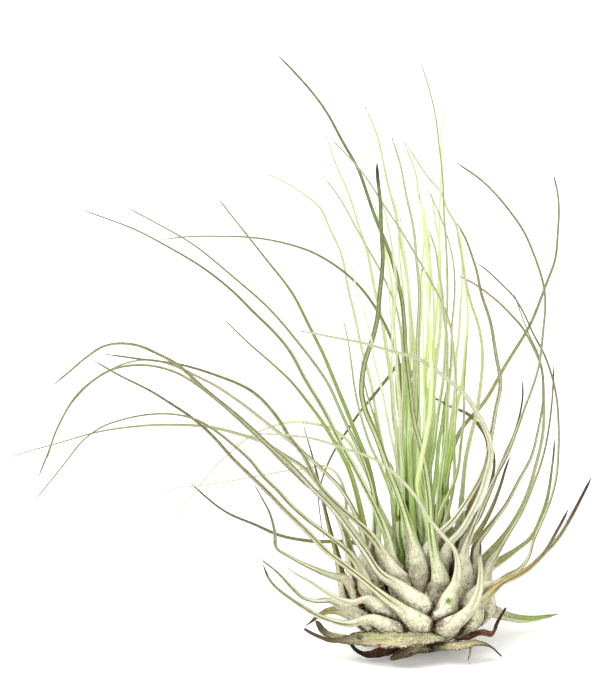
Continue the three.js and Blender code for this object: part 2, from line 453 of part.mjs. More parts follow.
function closePairs(leaves) {
  const half = (k) => (BLADE_WIDTH + (TIP_WIDTH - BLADE_WIDTH) * shareAt(k)) / 2;
  const inBlade = (leaf, k) => shareAt(k) >= leaf.seatShare;
  const near = [];
  for (let i = 0; i < leaves.length; i++) {
    for (let j = i + 1; j < leaves.length; j++) {
      if (leaves[i].head && leaves[i].head === leaves[j].head) continue;
      for (let a = 0; a < SAMPLES; a++) {
        if (!inBlade(leaves[i], a)) continue;
        const [u, v] = leaves[i].line[a];
        for (let b = 0; b < SAMPLES; b++) {
          if (!inBlade(leaves[j], b)) continue;
          const need = half(a) + half(b) + BLADE_CLEARANCE;
          const apart = Math.hypot(u - leaves[j].line[b][0], v - leaves[j].line[b][1]);
          if (apart < need + LOOK_AROUND) {
            near.push({ one: { leaf: i, k: a }, other: { leaf: j, k: b }, need });
          }
        }
      }
    }
  }
  return near;
}

// ---- solids ----
// A section has five corners round the centre line: one edge, the two corners of the rounded back,
// the other edge, and the bottom of the channel inside.
const CORNERS = 5;
const BACK_HALF = 0.42; // half width of the back, as a share of the half width
const EDGE_RISE = 0.7;
const CHANNEL_DROP = 0.75;

function section(halfWidth, halfHeight, channel) {
  return [
    [-halfWidth, halfHeight * EDGE_RISE * channel],
    [-halfWidth * BACK_HALF, -halfHeight],
    [halfWidth * BACK_HALF, -halfHeight],
    [halfWidth, halfHeight * EDGE_RISE * channel],
    [0, halfHeight * (1 - CHANNEL_DROP * channel)],
  ];
}

// Closed loft of sections along a centre line. marks are the places of the sections, and sizes(s) gives
// the half width, half height and channel depth at the place s. grow widens the loft all round.
const TANGENT_REACH = 1.2; // distance each way over which the direction is measured

function loft(points, inward, marks, sizes, grow) {
  const runs = runningLengths(points);
  const total = runs.at(-1);
  const pointAt = (s) => {
    const at = THREE.MathUtils.clamp(s, 0, total);
    return new THREE.Vector3(...[0, 1, 2].map((n) => along(runs, points.map((p) => p[n]), at)));
  };
  const positions = [];
  const normal = inward.clone();
  marks.forEach((s, k) => {
    const here = pointAt(s);
    const tangent = pointAt(s + TANGENT_REACH).sub(pointAt(s - TANGENT_REACH)).normalize();
    normal.addScaledVector(tangent, -normal.dot(tangent)).normalize();
    const side = tangent.clone().cross(normal);
    if (k === 0) here.addScaledVector(tangent, -grow);
    if (k === marks.length - 1) here.addScaledVector(tangent, grow);
    const [halfWidth, halfHeight, channel] = sizes(s);
    for (const [across, out] of section(halfWidth + grow, halfHeight + grow, channel)) {
      positions.push(...here.clone().addScaledVector(side, across).addScaledVector(normal, out));
    }
  });
  const index = [];
  const last = marks.length - 1;
  for (let k = 0; k < last; k++) {
    for (let c = 0; c < CORNERS; c++) {
      const a = k * CORNERS + c;
      const b = k * CORNERS + ((c + 1) % CORNERS);
      index.push(a, b + CORNERS, b, a, a + CORNERS, b + CORNERS);
    }
  }
  const end = last * CORNERS;
  for (const [a, b, c] of [[0, 4, 1], [1, 4, 2], [2, 4, 3]]) {
    index.push(c, b, a, end + a, end + b, end + c);
  }
  const geometry = new THREE.BufferGeometry();
  geometry.setAttribute("position", new THREE.Float32BufferAttribute(positions, 3));
  geometry.setIndex(index);
  return solid(geometry);
}

function solid(geometry) {
  const bare = new THREE.BufferGeometry();
  bare.setAttribute("position", geometry.getAttribute("position"));
  bare.setIndex(geometry.index);
  const merged = mergeVertices(bare);
  return new wasm.Manifold(new wasm.Mesh({
    numProp: 3,
    vertProperties: new Float32Array(merged.getAttribute("position").array),
    triVerts: new Uint32Array(merged.index.array),
  }));
}

// Places of the sections along a blade from its start to its tip, closer together where it bends.
function bladeMarks(points, start) {
  const runs = runningLengths(points);
  const effort = [0];
  for (let i = 1; i < points.length; i++) {
    const step = new THREE.Vector3(...points[i]).sub(new THREE.Vector3(...points[i - 1]));
    const before = new THREE.Vector3(...points[i - 1]).sub(new THREE.Vector3(...points[Math.max(0, i - 2)]));
    const turn = i > 1 ? step.angleTo(before) : 0;
    const inBlade = runs[i] > start;
    effort.push(effort[i - 1] + (inBlade ? step.length() + BEND_WEIGHT * turn : 0));
  }
  const count = Math.max(2, Math.round(effort.at(-1) / STATION_PITCH));
  const firstOfBlade = runs.findIndex((run) => run > start) - 1;
  const places = runs.slice(firstOfBlade);
  const efforts = effort.slice(firstOfBlade);
  const marks = [];
  for (let k = 1; k <= count; k++) {
    marks.push(Math.max(start + 1, along(efforts, places, (effort.at(-1) * k) / count)));
  }
  return marks;
}

function leafSolid(leaf, grow) {
  const points = leaf.line.map((point) => intoObject(point).toArray());
  const runs = runningLengths(points);
  const total = runs.at(-1);
  const seat = runs[Math.round(leaf.seatShare * (SAMPLES - 1))];
  const width = (leaf.head ? HEART_SHEATH_WIDTH : SHEATH_WIDTH) * leaf.fullness;
  const thickness = (leaf.head ? HEART_SHEATH_THICKNESS : SHEATH_THICKNESS) * leaf.fullness;
  const start = Math.min(seat + (leaf.head ? HEART_SHEATH_TAPER : SHEATH_TAPER), total - BLADE_LEAST);
  const places = [0, seat * BELLY_RUN, seat, seat + (start - seat) * NECK_RUN, start, total];
  const widths = [...SHEATH_WIDTHS.map((share) => share * width), BLADE_WIDTH, TIP_WIDTH];
  const heights = [...SHEATH_THICKNESSES.map((share) => share * thickness), BLADE_THICKNESS, TIP_THICKNESS];
  const sizes = (s) => [
    along(places, widths, s) / 2,
    along(places, heights, s) / 2,
    along([0, seat, start, total], CHANNEL_DEPTHS, s),
  ];
  const marks = [...places.slice(0, -1), ...bladeMarks(points, start)];
  const inward = new THREE.Vector3(-points[0][0], -points[0][1], 0).normalize().setZ(CHANNEL_RISE);
  return loft(points, inward, marks, sizes, grow);
}

const evenly = (total, count) => Array.from({ length: count }, (_, k) => (total * k) / (count - 1));

function deadLeafSolid(route, halfWidths, face, grow) {
  const points = throughPoints(route, SAMPLES);
  const total = runningLengths(points).at(-1);
  const marks = evenly(total, route.length + DEAD_LEAF_EXTRA_SECTIONS);
  const places = evenly(total, halfWidths.length);
  const sizes = (s) => [along(places, halfWidths, s), DEAD_LEAF_THICKNESS / 2, DEAD_LEAF_CHANNEL];
  return loft(points, new THREE.Vector3(...face), marks, sizes, grow);
}

function rootSolid(grow) {
  const points = throughPoints(ROOT_ROUTE, SAMPLES);
  const marks = evenly(runningLengths(points).at(-1), ROOT_SECTIONS);
  return loft(points, new THREE.Vector3(...UP), marks, () => [ROOT_RADIUS, ROOT_RADIUS, 0], grow);
}

function stemSolid(grow) {
  const [[footRadius]] = STEM_PROFILE;
  const [topRadius, height] = STEM_PROFILE.at(-1);
  const outline = [
    [0, -grow],
    [footRadius + grow, -grow],
    ...STEM_PROFILE.slice(1, -1).map(([radius, z]) => [radius + grow, z]),
    [topRadius + grow, height + grow],
    [0, height + grow],
  ];
  const lathe = new THREE.LatheGeometry(outline.map(([r, z]) => new THREE.Vector2(r, z)), STEM_SIDES);
  return solid(lathe.rotateX(Math.PI / 2));
}

// Everything over the ground, as a block large enough for the whole plant.
function overGround() {
  const side = 400;
  const block = new THREE.BoxGeometry(side, side, side);
  return solid(block.translate(0, 0, side / 2));
}

// ---- the pieces, from the outside of the bulb to its heart ----
const leaves = LEAVES.map((row, order) => centreLine(row, order, null));
const frontHeart = HEART_FRONT.map((row, order) => centreLine(row, order, "front"));
const backHeart = HEART_BACK.map((row, order) => centreLine(row, order, "back"));
bendClear([...leaves, ...frontHeart, ...backHeart]);

const joined = (members, grow) =>
  members.map((leaf) => leafSolid(leaf, grow)).reduce((all, blade) => all.add(blade));
const pieces = [
  { name: "stem", look: STEM_BARK, make: stemSolid },
  ...leaves.map((leaf) => ({ name: leaf.name, look: leaf.look, make: (grow) => leafSolid(leaf, grow) })),
  ...DEAD_LEAVES.map(([name, look, ...shape]) =>
    ({ name, look, make: (grow) => deadLeafSolid(...shape, grow) })),
  { name: "root", look: DEAD, make: rootSolid },
  { name: "heart_leaves_front", look: LIME, make: (grow) => joined(frontHeart, grow) },
  { name: "heart_leaves_back", look: GREEN, make: (grow) => joined(backHeart, grow) },
];

// Each piece gives way to those before it: it is hollowed by their shapes grown by the gap.
const boxesMeet = (a, b) => [0, 1, 2].every((n) => a.min[n] < b.max[n] && b.min[n] < a.max[n]);
const largest = (body) => body.decompose().sort((a, b) => b.volume() - a.volume())[0];

function carve(piece, placed, ground) {
  let body = piece.make(0).intersect(ground);
  for (const grown of placed) {
    if (boxesMeet(body.boundingBox(), grown.boundingBox())) body = body.subtract(grown);
  }
  return largest(body);
}

function meshOf(name, look, body) {
  const { vertProperties, triVerts } = body.getMesh();
  const indexed = new THREE.BufferGeometry();
  indexed.setAttribute("position", new THREE.Float32BufferAttribute(vertProperties, 3));
  indexed.setIndex(new THREE.Uint32BufferAttribute(triVerts, 1));
  const faceted = indexed.toNonIndexed();
  faceted.computeVertexNormals();
  const material = new THREE.MeshStandardMaterial({
    color: look.colour,
    roughness: look.roughness,
    metalness: 0,
  });
  const mesh = new THREE.Mesh(faceted, material);
  mesh.name = name;
  return mesh;
}

const group = new THREE.Group();
const ground = overGround();
const placed = [];
for (const piece of pieces) {
  group.add(meshOf(piece.name, piece.look, carve(piece, placed, ground)));
  placed.push(piece.make(GAP));
}

export default group;
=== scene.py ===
# An air plant that stands on its own base: a short stem in a bulb of swollen sheaths, and from each
# sheath one thread-like channelled leaf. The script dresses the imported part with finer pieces, built in
# millimetres in the part's own frame.
import math
import bpy
import numpy as np
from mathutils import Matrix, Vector


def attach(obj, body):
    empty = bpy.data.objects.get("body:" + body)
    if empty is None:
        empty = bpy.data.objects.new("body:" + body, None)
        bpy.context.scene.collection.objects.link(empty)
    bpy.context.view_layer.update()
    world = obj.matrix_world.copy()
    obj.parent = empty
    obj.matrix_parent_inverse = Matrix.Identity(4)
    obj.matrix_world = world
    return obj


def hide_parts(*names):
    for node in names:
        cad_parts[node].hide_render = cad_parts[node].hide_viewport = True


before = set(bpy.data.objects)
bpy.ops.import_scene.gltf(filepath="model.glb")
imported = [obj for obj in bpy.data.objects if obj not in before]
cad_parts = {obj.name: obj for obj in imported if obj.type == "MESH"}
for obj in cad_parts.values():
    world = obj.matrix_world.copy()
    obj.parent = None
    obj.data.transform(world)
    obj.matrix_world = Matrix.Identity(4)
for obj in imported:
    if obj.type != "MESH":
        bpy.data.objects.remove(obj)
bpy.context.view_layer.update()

# ---- stem ----
# The plant's short woody axis, brown and fibrous, ringed by the scars of the leaves that it has shed.
# It has grown up through the bulb, and the plant rests on its cut foot.
MILLIMETRE = 0.001
STEM_PROFILE = [(8.5, 0), (8.5, 1.2), (6.7, 3.4), (5.2, 9), (3.6, 17), (2.2, 24)]  # radius, height
STEM_RINGS = 60
STEM_CORNERS = 84
SCAR_PITCH = 1.5
SCAR_DEPTH = 0.16
SCAR_WAVE = 0.9  # how far a scar rises and falls on its way round the stem
FIBRES = 19  # ridges round the stem
FIBRE_DEPTH = 0.1
FIBRE_WAVE = 1.3
BARK = "#6d5840"
BARK_CREVICE = "#2e2117"
BARK_RIDGE = "#a08a68"
CREVICE_BAND = (0.35, 0.6)  # of the noise that draws the fibres, and of the one that draws the scars
RIDGE_BAND = (0.52, 0.7)


def ring_faces(stations, corners, first=0):
    """Quads between rings of points, and one face over each end; first is the number of the first point."""
    start = np.arange(stations - 1)[:, None] * corners
    here = np.arange(corners)[None, :]
    after = (here + 1) % corners
    quads = np.stack([start + here, start + after, start + corners + after, start + corners + here], -1)
    faces = (quads.reshape(-1, 4) + first).tolist()
    faces.append([first + k for k in reversed(range(corners))])
    faces.append([first + (stations - 1) * corners + k for k in range(corners)])
    return faces


def surface(name, points, faces, finishes, measures, finish_of_face=None):
    """Smooth closed mesh of points in mm; measures are numbers kept for each point for the finish."""
    mesh = bpy.data.meshes.new(name)
    mesh.from_pydata((points * MILLIMETRE).tolist(), [], faces)
    if enclosed(points, faces) < 0:
        mesh.flip_normals()
    for label, values in measures.items():
        values = np.asarray(values, np.float32)
        if values.ndim > 1 and values.shape[-1] == 3:
            mesh.attributes.new(label, "FLOAT_VECTOR", "POINT").data.foreach_set("vector", values.ravel())
        else:
            mesh.attributes.new(label, "FLOAT", "POINT").data.foreach_set("value", values.ravel())
    mesh.polygons.foreach_set("use_smooth", [True] * len(mesh.polygons))
    for finish in finishes:
        mesh.materials.append(finish)
    if finish_of_face is not None:
        mesh.polygons.foreach_set("material_index", finish_of_face)
    return new_object(name, mesh)


def new_object(name, data):
    made = bpy.data.objects.new(name, data)
    bpy.context.scene.collection.objects.link(made)
    return made


def enclosed(points, faces):
    """Rough measure of the volume inside the faces, negative where they face inwards."""
    a, b, c = np.array([[face[0], face[i], face[i + 1]] for face in faces for i in (1, len(face) - 2)]).T
    return float(np.einsum("ij,ij->i", points[a], np.cross(points[b], points[c])).sum())


def fit(piece, slot, *nodes):
    """The piece stands for those nodes of the part, which are hidden, and moves with the one body; slot is
    not used.
    """
    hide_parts(*nodes)
    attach(piece, "root")


def colour(code):
    """Linear colour of a paint code such as "#6d5840"."""
    shares = [int(code[i:i + 2], 16) / 255 for i in (1, 3, 5)]
    linear = [c / 12.92 if c <= 0.04045 else ((c + 0.055) / 1.055) ** 2.4 for c in shares]
    return (*linear, 1.0)


def new_finish(name, roughness):
    """A new material and its shader."""
    finish = bpy.data.materials.new(name)
    finish.use_nodes = True
    shader = finish.node_tree.nodes["Principled BSDF"]
    shader.inputs["Roughness"].default_value = roughness
    return finish, shader


def node(shader, kind, inputs, **settings):
    """New node beside the shader; each input gets a value, or is linked where a socket is given."""
    tree = shader.id_data
    made = tree.nodes.new("ShaderNode" + kind)
    for label, value in settings.items():
        setattr(made, label, value)
    for key, value in inputs.items():
        if isinstance(value, bpy.types.NodeSocket):
            tree.links.new(value, made.inputs[key])
        else:
            made.inputs[key].default_value = value
    return made


def sums(shader, operation, a, b):
    return node(shader, "Math", {0: a, 1: b}, operation=operation).outputs[0]


def times(shader, a, b):
    return sums(shader, "MULTIPLY", a, b)


def graded(shader, value, band):
    """0 at the first value of the band and beyond, 1 at its second and beyond, smooth between."""
    inputs = {"Value": value, "From Min": band[0], "From Max": band[1]}
    return node(shader, "MapRange", inputs, interpolation_type="SMOOTHSTEP").outputs["Result"]


def stain(shader, under, over, *shares):
    """Colour under, turned to colour over by the product of the shares, which run from 0 to 1. A colour is
    a paint code or a socket; a share is a number, a socket, or a socket with the band that grades it."""
    under, over = [colour(paint) if isinstance(paint, str) else paint for paint in (under, over)]
    share, *others = [graded(shader, *share) if isinstance(share, tuple) else share for share in shares]
    for other in others:
        share = times(shader, share, other)
    return node(shader, "Mix", {0: share, 6: under, 7: over}, data_type="RGBA").outputs[2]


def measured(shader, label, output="Fac"):
    """One of the measures that a surface keeps for each of its points."""
    return node(shader, "Attribute", {}, attribute_name=label).outputs[output]


def place(shader):
    return node(shader, "TexCoord", {}).outputs["Object"]


def mottle(shader, where, size, detail=3.0, stretch=(1, 1, 1)):
    """Cloudy noise with patches of about that size in mm."""
    scale = [1 / MILLIMETRE / size * share for share in stretch]
    stretched = node(shader, "Mapping", {"Vector": where, "Scale": scale}).outputs[0]
    return node(shader, "TexNoise", {"Vector": stretched, "Scale": 1.0, "Detail": detail}).outputs[0]


def relief(shader, height, depth, under=None):
    """Bump of that depth in mm, laid over an earlier one if it is given."""
    inputs = {"Height": height, "Distance": depth * MILLIMETRE, "Strength": 1.0}
    if under is not None:
        inputs["Normal"] = under
    return node(shader, "Bump", inputs).outputs["Normal"]


def finished(shader, base, normal):
    tree = shader.id_data
    tree.links.new(base, shader.inputs["Base Color"])
    tree.links.new(normal, shader.inputs["Normal"])


def woody(name, base, crevice, ridge):
    """Dry fibrous bark, darker in its crevices and worn pale on its ridges."""
    finish, shader = new_finish(name, roughness=0.9)
    fibre = mottle(shader, place(shader), size=0.5, detail=6.0, stretch=(1, 1, 0.25))
    scars = mottle(shader, place(shader), size=1.6, detail=4.0, stretch=(0.4, 0.4, 1))
    worn = stain(shader, crevice, base, (fibre, CREVICE_BAND))
    worn = stain(shader, worn, ridge, (scars, RIDGE_BAND))
    fibrous = relief(shader, fibre, depth=0.2)
    finished(shader, worn, relief(shader, scars, depth=0.3, under=fibrous))
    return finish


def stem_rings():
    radii, heights = np.array(STEM_PROFILE, float).T
    z = np.linspace(0, heights[-1], STEM_RINGS)
    angle = np.linspace(0, 2 * math.pi, STEM_CORNERS, endpoint=False)
    scars = np.abs(np.sin(math.pi * z[:, None] / SCAR_PITCH + SCAR_WAVE * np.sin(3 * angle)[None, :]))
    fibres = np.sin(FIBRES * angle[None, :] + FIBRE_WAVE * np.sin(z[:, None] / 2))
    radius = np.interp(z, heights, radii)[:, None] - SCAR_DEPTH * (1 - scars) - FIBRE_DEPTH * (1 - fibres) / 2
    across, along = radius * np.cos(angle), radius * np.sin(angle)
    return np.stack([across, along, np.broadcast_to(z[:, None], radius.shape)], -1)


bark = woody("bark", BARK, BARK_CREVICE, BARK_RIDGE)
stem_faces = ring_faces(STEM_RINGS, STEM_CORNERS)
stem = surface("stem_bark", stem_rings().reshape(-1, 3), stem_faces, [bark], {})
fit(stem, "stem_bark", "stem")

# ---- courses of the leaves ----
# Every leaf grows from the stem as a swollen sheath that clasps the younger ones, leaves the bulb at
# its seat, and runs on as one long thread. Each course is drawn as seen from the front, from slightly
# above: name, finish, seat (azimuth from the front, height, radius), the tip's place along +Y, and
# the blade as "across,up" from the foot of the stem, with a place along +Y where it is drawn too.
LEAVES = [
    # lower ring
    ("leaf_01", "olive", (-1, 12, 19), -32,
     "-5,9.4 -10,13 -15,17 -20,21 -25,25 -30,29.8 -35,34.8 -40,40 -45,44.9 -50,49.9 -57,57.3 -61,61 "
     "-70,66.6 -80,72 -87.6,76.3"),
    ("leaf_02", "silver", (-26, 11, 19.5), -40,
     "-12.4,6.4 -19.2,5.2 -25.4,6.6 -31.6,9.9 -36.5,13.5 -40.3,17.5 -42,21"),
    ("leaf_03", "silver", (-51, 11.5, 19.3), -26,
     "-18,8.8 -21,10.2 -24,11.6 -27,11.4 -31,12.2 -34,14.8 -38,19 -43,23"),
    ("leaf_04", "pale", (24, 11.5, 19.5), -32, "11.6,6.8 14.6,9.6 16.4,13.5 17,18.6 16.8,23 16.9,27.4"),
    ("leaf_05", "brown", (50, 11.5, 19.3), -38,
     "16,10.5 19,14 23,16.8 27,18.7 30,20.6 32.5,22.8 34.8,25.6 38,31 40.4,36"),
    ("leaf_06", "olive", (77, 11, 19.2), -24,
     "19.5,13.5 23,17.6 27,20 29.5,23 31,27.5 33.2,32.5 35.5,38.5 37.3,45 38,52.9 37.8,59 36.3,71.5 "
     "34,78 31,83.5 28.4,89 25.7,93.6 22.4,97.2 18.6,100.7 15.4,102.9"),
    ("leaf_07", "green", (103, 8.5, 19.2), 12, "20.5,8.6 24,7.2 28,6.4 31,6.4 35,7.2 37.8,7.9"),
    ("leaf_08", "olive", (128, 10.5, 19.3), 44,
     "16.5,17 19,20 23,22.6 27,25.4 30.5,28.3 33.5,34.5 35.3,41 36.3,48 36.7,55"),
    ("leaf_09", "green", (154, 10.5, 19.3), 78, "8,20,22 7,29,36 4,34.5,52 1,38,66 -1.5,39,78"),
    ("leaf_10", "olive", (-178, 10, 19.3), 93, "-1,19,25 -3,30,38 -5,40,54 -7,47,70 -9,50,84 -10,50,93"),
    ("leaf_11", "dark", (-152, 11, 19), 72,
     "-10,21 -12.4,25.6 -17.6,27 -29.7,27.4 -39.2,29.8 -44.6,32 -54.5,37 -61.8,43.2"),
    ("leaf_12", "pale", (-127, 10.5, 19.3), 62,
     "-17,20 -19,28 -19.5,36 -20.4,42 -22.8,46.2 -26,47.8 -30,47.3 -35,46.8 -45,44.7 -55,43.2 -65,41.8 "
     "-73.7,41.3"),
    ("leaf_13", "dark", (-102, 11, 19.2), 34,
     "-20.6,17 -22,24 -24,31 -25.3,37 -26.8,44 -28.5,50.5 -29.8,55 -31,59.5"),
    ("leaf_14", "brown", (-76, 10, 19.2), -10, "-21,8.6 -24,8.6 -27,7.2 -29,5.6 -30.5,4.6"),
    # second ring
    ("leaf_15", "silver", (0, 17, 16.5), -22,
     "-5,15.2 -10.5,18.8 -14.3,24.4 -19.2,31 -24,37.3 -30,43.3 -35,48.3 -43.5,56.5 -50,62.2 -60,70.6 "
     "-66,75.8 -70,78 -75,80.1 -79.5,80.7 -85,80 -90,77 -95,72.5 -98.5,69.5"),
    ("leaf_16", "pale", (-33, 14, 18), -38, "-14.3,11.9 -18,11 -22,12 -25,13.7 -30,17 -33,18.6 -35.2,20.2"),
    ("leaf_17", "pale", (22, 15, 18), -48,
     "8.6,12.5 10.4,16 11,20 10.2,24.5 6.5,29.3 3,33.5 0,38.4 -4,43.6 -8,47.2 -13,50 -20,52.6 -27,54.7 "
     "-36,56.3 -43,56.4"),
    ("leaf_18", "olive", (49, 16, 18), -28,
     "16.5,14 20,15.4 25,17.2 30,20 33.2,23.2 37.3,27.8 41.3,33.8 44.3,39.7 46.7,44.6"),
    ("leaf_19", "olive", (80, 16, 17.8), 12,
     "19,19.5 21.5,24.5 24.6,29.8 27.8,35.1 31,42.7 34.6,54.8 35.9,62.6 36.5,75.3"),
    ("leaf_20", "silver", (112, 16, 17.6), 48,
     "18,22 22,27 26,33 29.5,40 32,48 33.6,57 34,66 33.4,74 30.5,81 28.4,84.8 24.6,89.1 20.8,92.9 "
     "16.2,96.4 10.8,99.1"),
    ("leaf_21", "olive", (142, 15.5, 17.6), 70,
     "9.5,26 8,35 8,45 11,56.4 17.6,64.8 22.1,72.4 26.7,79.7 31,87.8 35.1,98 37,103.7 37.8,111.2 "
     "37.5,122.6 36.7,126.6"),
    ("leaf_22", "green", (172, 16, 17.6), 98,
     "3,30,26 4.5,43,37 6,56,50 7.5,66,64 8.5,72.5,78 9,75,90 9,75,98"),
    ("leaf_23", "pale", (-160, 15.5, 17.6), 82,
     "-7.5,28 -11,38 -15,48 -19,54.5 -24,58 -28,59.1 -32,59.6 -36,59.3 -42,57.6 -50,52 -54,48.5 "
     "-60,40.8 -68,31"),
    ("leaf_24", "green", (-132, 16, 17.6), 62,
     "-14.5,27 -16,37 -18.5,46 -22,53 -25.5,59.3 -30,65 -35,71.3 -40,76 -45,80.3 -50,84.9 -52.4,87.3"),
    ("leaf_25", "silver", (-104, 16, 17.6), 38,
     "-18.5,23 -20.5,31 -24,38.5 -28,44 -31,47.2 -36,50.5 -42,54.3 -50,56.9 -60,58.6 -68,59.1 -80,58 "
     "-88,56.7 -100,53.2 -110.8,50"),
    ("leaf_26", "olive", (-74, 17, 18), -14,
     "-19.5,17.3 -23,18.2 -30,21 -35,23.6 -38.3,25.8 -38.7,30 -40,35 -42.3,39.2 -44.8,43.6"),
    ("leaf_27", "olive", (-53, 17.5, 17.2), -50,
     "-15.3,19 -17.2,22.6 -20,25.7 -25,29.6 -30,33.4 -35,38 -38,41.2 -42,45 -45,48.8 -50,53.6 -55,57.5 "
     "-60,60.2 -69,62 -75,61.6 -80,60.4 -85,58.5 -90,55 -95,49.3 -100,43 -103.8,38"),
    # third ring
    ("leaf_28", "silver", (-60, 21.5, 14.5), 8,
     "-14.2,24.5 -18,31 -22,36 -26,39.7 -30,42.5 -35,47.5 -40,52.5 -45,57 -55,66.2 -60,70 -64,72.4 "
     "-75,75 -83,73.8 -90,69 -95,62.5 -98,57 -100,51 -102.5,44.5"),
    ("leaf_29", "olive", (-28, 22.5, 12.5), -8,
     "-9,23 -12,28 -17,33 -22,37.3 -26.5,42 -28,44.5 -31,50.5 -35,56 -37,59.5 -40,63.3 -45,67.8 "
     "-50,70.6 -55,72.6 -64,75 -75,76.7 -84.7,78"),
    ("leaf_30", "green", (24, 21, 13.5), -18,
     "4.6,24 3.4,31 2.4,40 0.6,50 -1.4,60 -2.8,72 -3.6,84 -4.9,95 -6.9,103 -10,111 -13.5,120.5 "
     "-17,129.5 -20,135 -25,143.5 -30,150.5 -35,155.8 -38,158.6"),
    ("leaf_31", "silver", (57, 21, 14.5), -38,
     "12.6,24 14.5,30 17.6,37.5 20.5,43.8 24.3,50.8 28.6,62.6 32.4,74.3 33.8,82.9 34.3,90.5 33.8,96.1 "
     "32.1,103.1 29.4,109.4 25.7,115.3 21.9,120.2 17.3,124.7 10.3,129.9"),
    ("leaf_32", "olive", (94, 21, 14.5), 6,
     "15.5,26 19,31 23.5,37 27.3,44 30.4,50 32.1,56.7 33.2,62 34,68 33.5,73 32.4,77.5 29.7,83.4 "
     "27.4,90 25.6,95.8"),
    ("leaf_33", "brown", (124, 21, 14.2), 38,
     "12,28.5 13.5,34.5 15.8,39.9 18.4,46.4 19.2,51.6 18.6,55.6 16.2,59.1 13.5,61.6 9.5,63.5 5.7,65.6 "
     "1.9,67.2"),
    ("leaf_34", "pale", (160, 21, 14.2), 88,
     "4.4,32 3,44 1.8,56 2,68 2.6,80 3,90 3.2,100 2.6,109.5 2,113 0,122 -1,128 -3.7,135"),
    ("leaf_35", "pale", (-162, 21, 14.2), 86,
     "-6,33 -8,44 -9.5,52 -11.5,63 -14,75 -16.5,85 -18.9,96.1 -21.1,105.8 -24,112.3 -26.2,116.9 "
     "-30.2,120.7 -35.9,124.5 -42.4,126.9"),
    ("leaf_36", "green", (-126, 21, 14.2), 58,
     "-11.5,31 -12,40 -14,49 -17.5,58 -22,69 -27,80.7 -33,92.5 -40,102.5 -47,111 -54.3,120.5"),
    ("leaf_37", "silver", (-93, 21.5, 14.3), 22,
     "-14.6,28 -17.5,36 -22,43 -25,45.9 -29,49.6 -35,55 -40,58.8 -45,62.6 -50,66.3 -55,69.7 -60,72.3 "
     "-64,74.2 -73,76.4 -80,75.3 -87,71.5 -92,66.6 -98.5,55.5 -100.2,49.8"),
    # upper ring
    ("leaf_38", "green", (-2, 25, 9.5), -48,
     "-1.6,28.5 -3.6,35 -6,42 -9,49.5 -12.2,57.8 -14.6,64.3 -15.4,68 -15.1,72.4 -12.2,82.4 -10,96.9 "
     "-9.7,107.7 -10.3,118.3 -11.1,129.6"),
    ("leaf_39", "green", (-45, 25, 10.2), -42,
     "-8.4,28 -11.5,36 -15,43 -18.5,49.5 -21.5,55 -25,61.5 -30,70.5 -35,79 -39.5,84.5 -45,90 -50,94.9 "
     "-60,102.5 -70,108.5 -80,113 -85,115 -91,117.3"),
    ("leaf_40", "pale", (38, 25, 10), -62,
     "8.4,26.5 11.5,30 15,36 18.2,44 19.6,50.8 18.6,57 15.1,63.5 7.3,71.6 0.5,75.9 -6.5,78.6 "
     "-12.4,80.2 -20.5,82.1 -31.9,84.2"),
    ("leaf_41", "olive", (84, 25.5, 10), -2,
     "12.4,28 16.4,34 19,40 21.4,46 23.5,51 25.6,55.7 27.3,62 28.1,68 28,71.3"),
    ("leaf_42", "pale", (130, 25, 10), 36,
     "10.8,30 12,40 13,50 14.6,57 16.2,64 17.3,74 17.2,80 16.2,86.7 14.3,92.3 12.7,98 11.3,107.5 "
     "10,113.7 8.1,116.6 6.2,121.5 2.7,125.8 -3.5,135"),
    ("leaf_43", "dark", (-178, 25, 10), 55,
     "-1,35 -0.5,50 -0.5,64 -2,73 -5,75 -8,72 -13,65.5 -17,60.5 -22,53 -24.5,48 -26.2,43 -26.9,38.5 "
     "-26.4,33 -25.2,27.5"),
    ("leaf_44", "green", (-88, 25, 10), -14,
     "-10.6,31 -12,40 -14.6,49 -18,56.5 -21,63 -25,71 -28,75.5 -35,84.5 -45,94.7 -55,103.2 -63,109 "
     "-70,113.1 -78.8,117.8"),
    ("leaf_45", "silver", (14, 27, 7.6), -58,
     "5,29 9,33.5 14.5,40.5 18.4,47.5 19.8,56.7 21,62.4 22.1,67.8 21.3,76.7 18.9,88.6 17,95 15.1,102.6 "
     "13.2,108.5 10.3,113.4"),
    ("leaf_46", "dark", (68, 23, 12.5), -14, "12.5,25.5 15.5,29 18.5,33.6 20.5,38 22,42.5 23.3,47 24.8,50.5"),
    ("leaf_47", "dark", (106, 25.5, 10.6), 26, "12,28 15,32.6 18,37.8 20,44 20.6,49 20.1,53.3"),
]

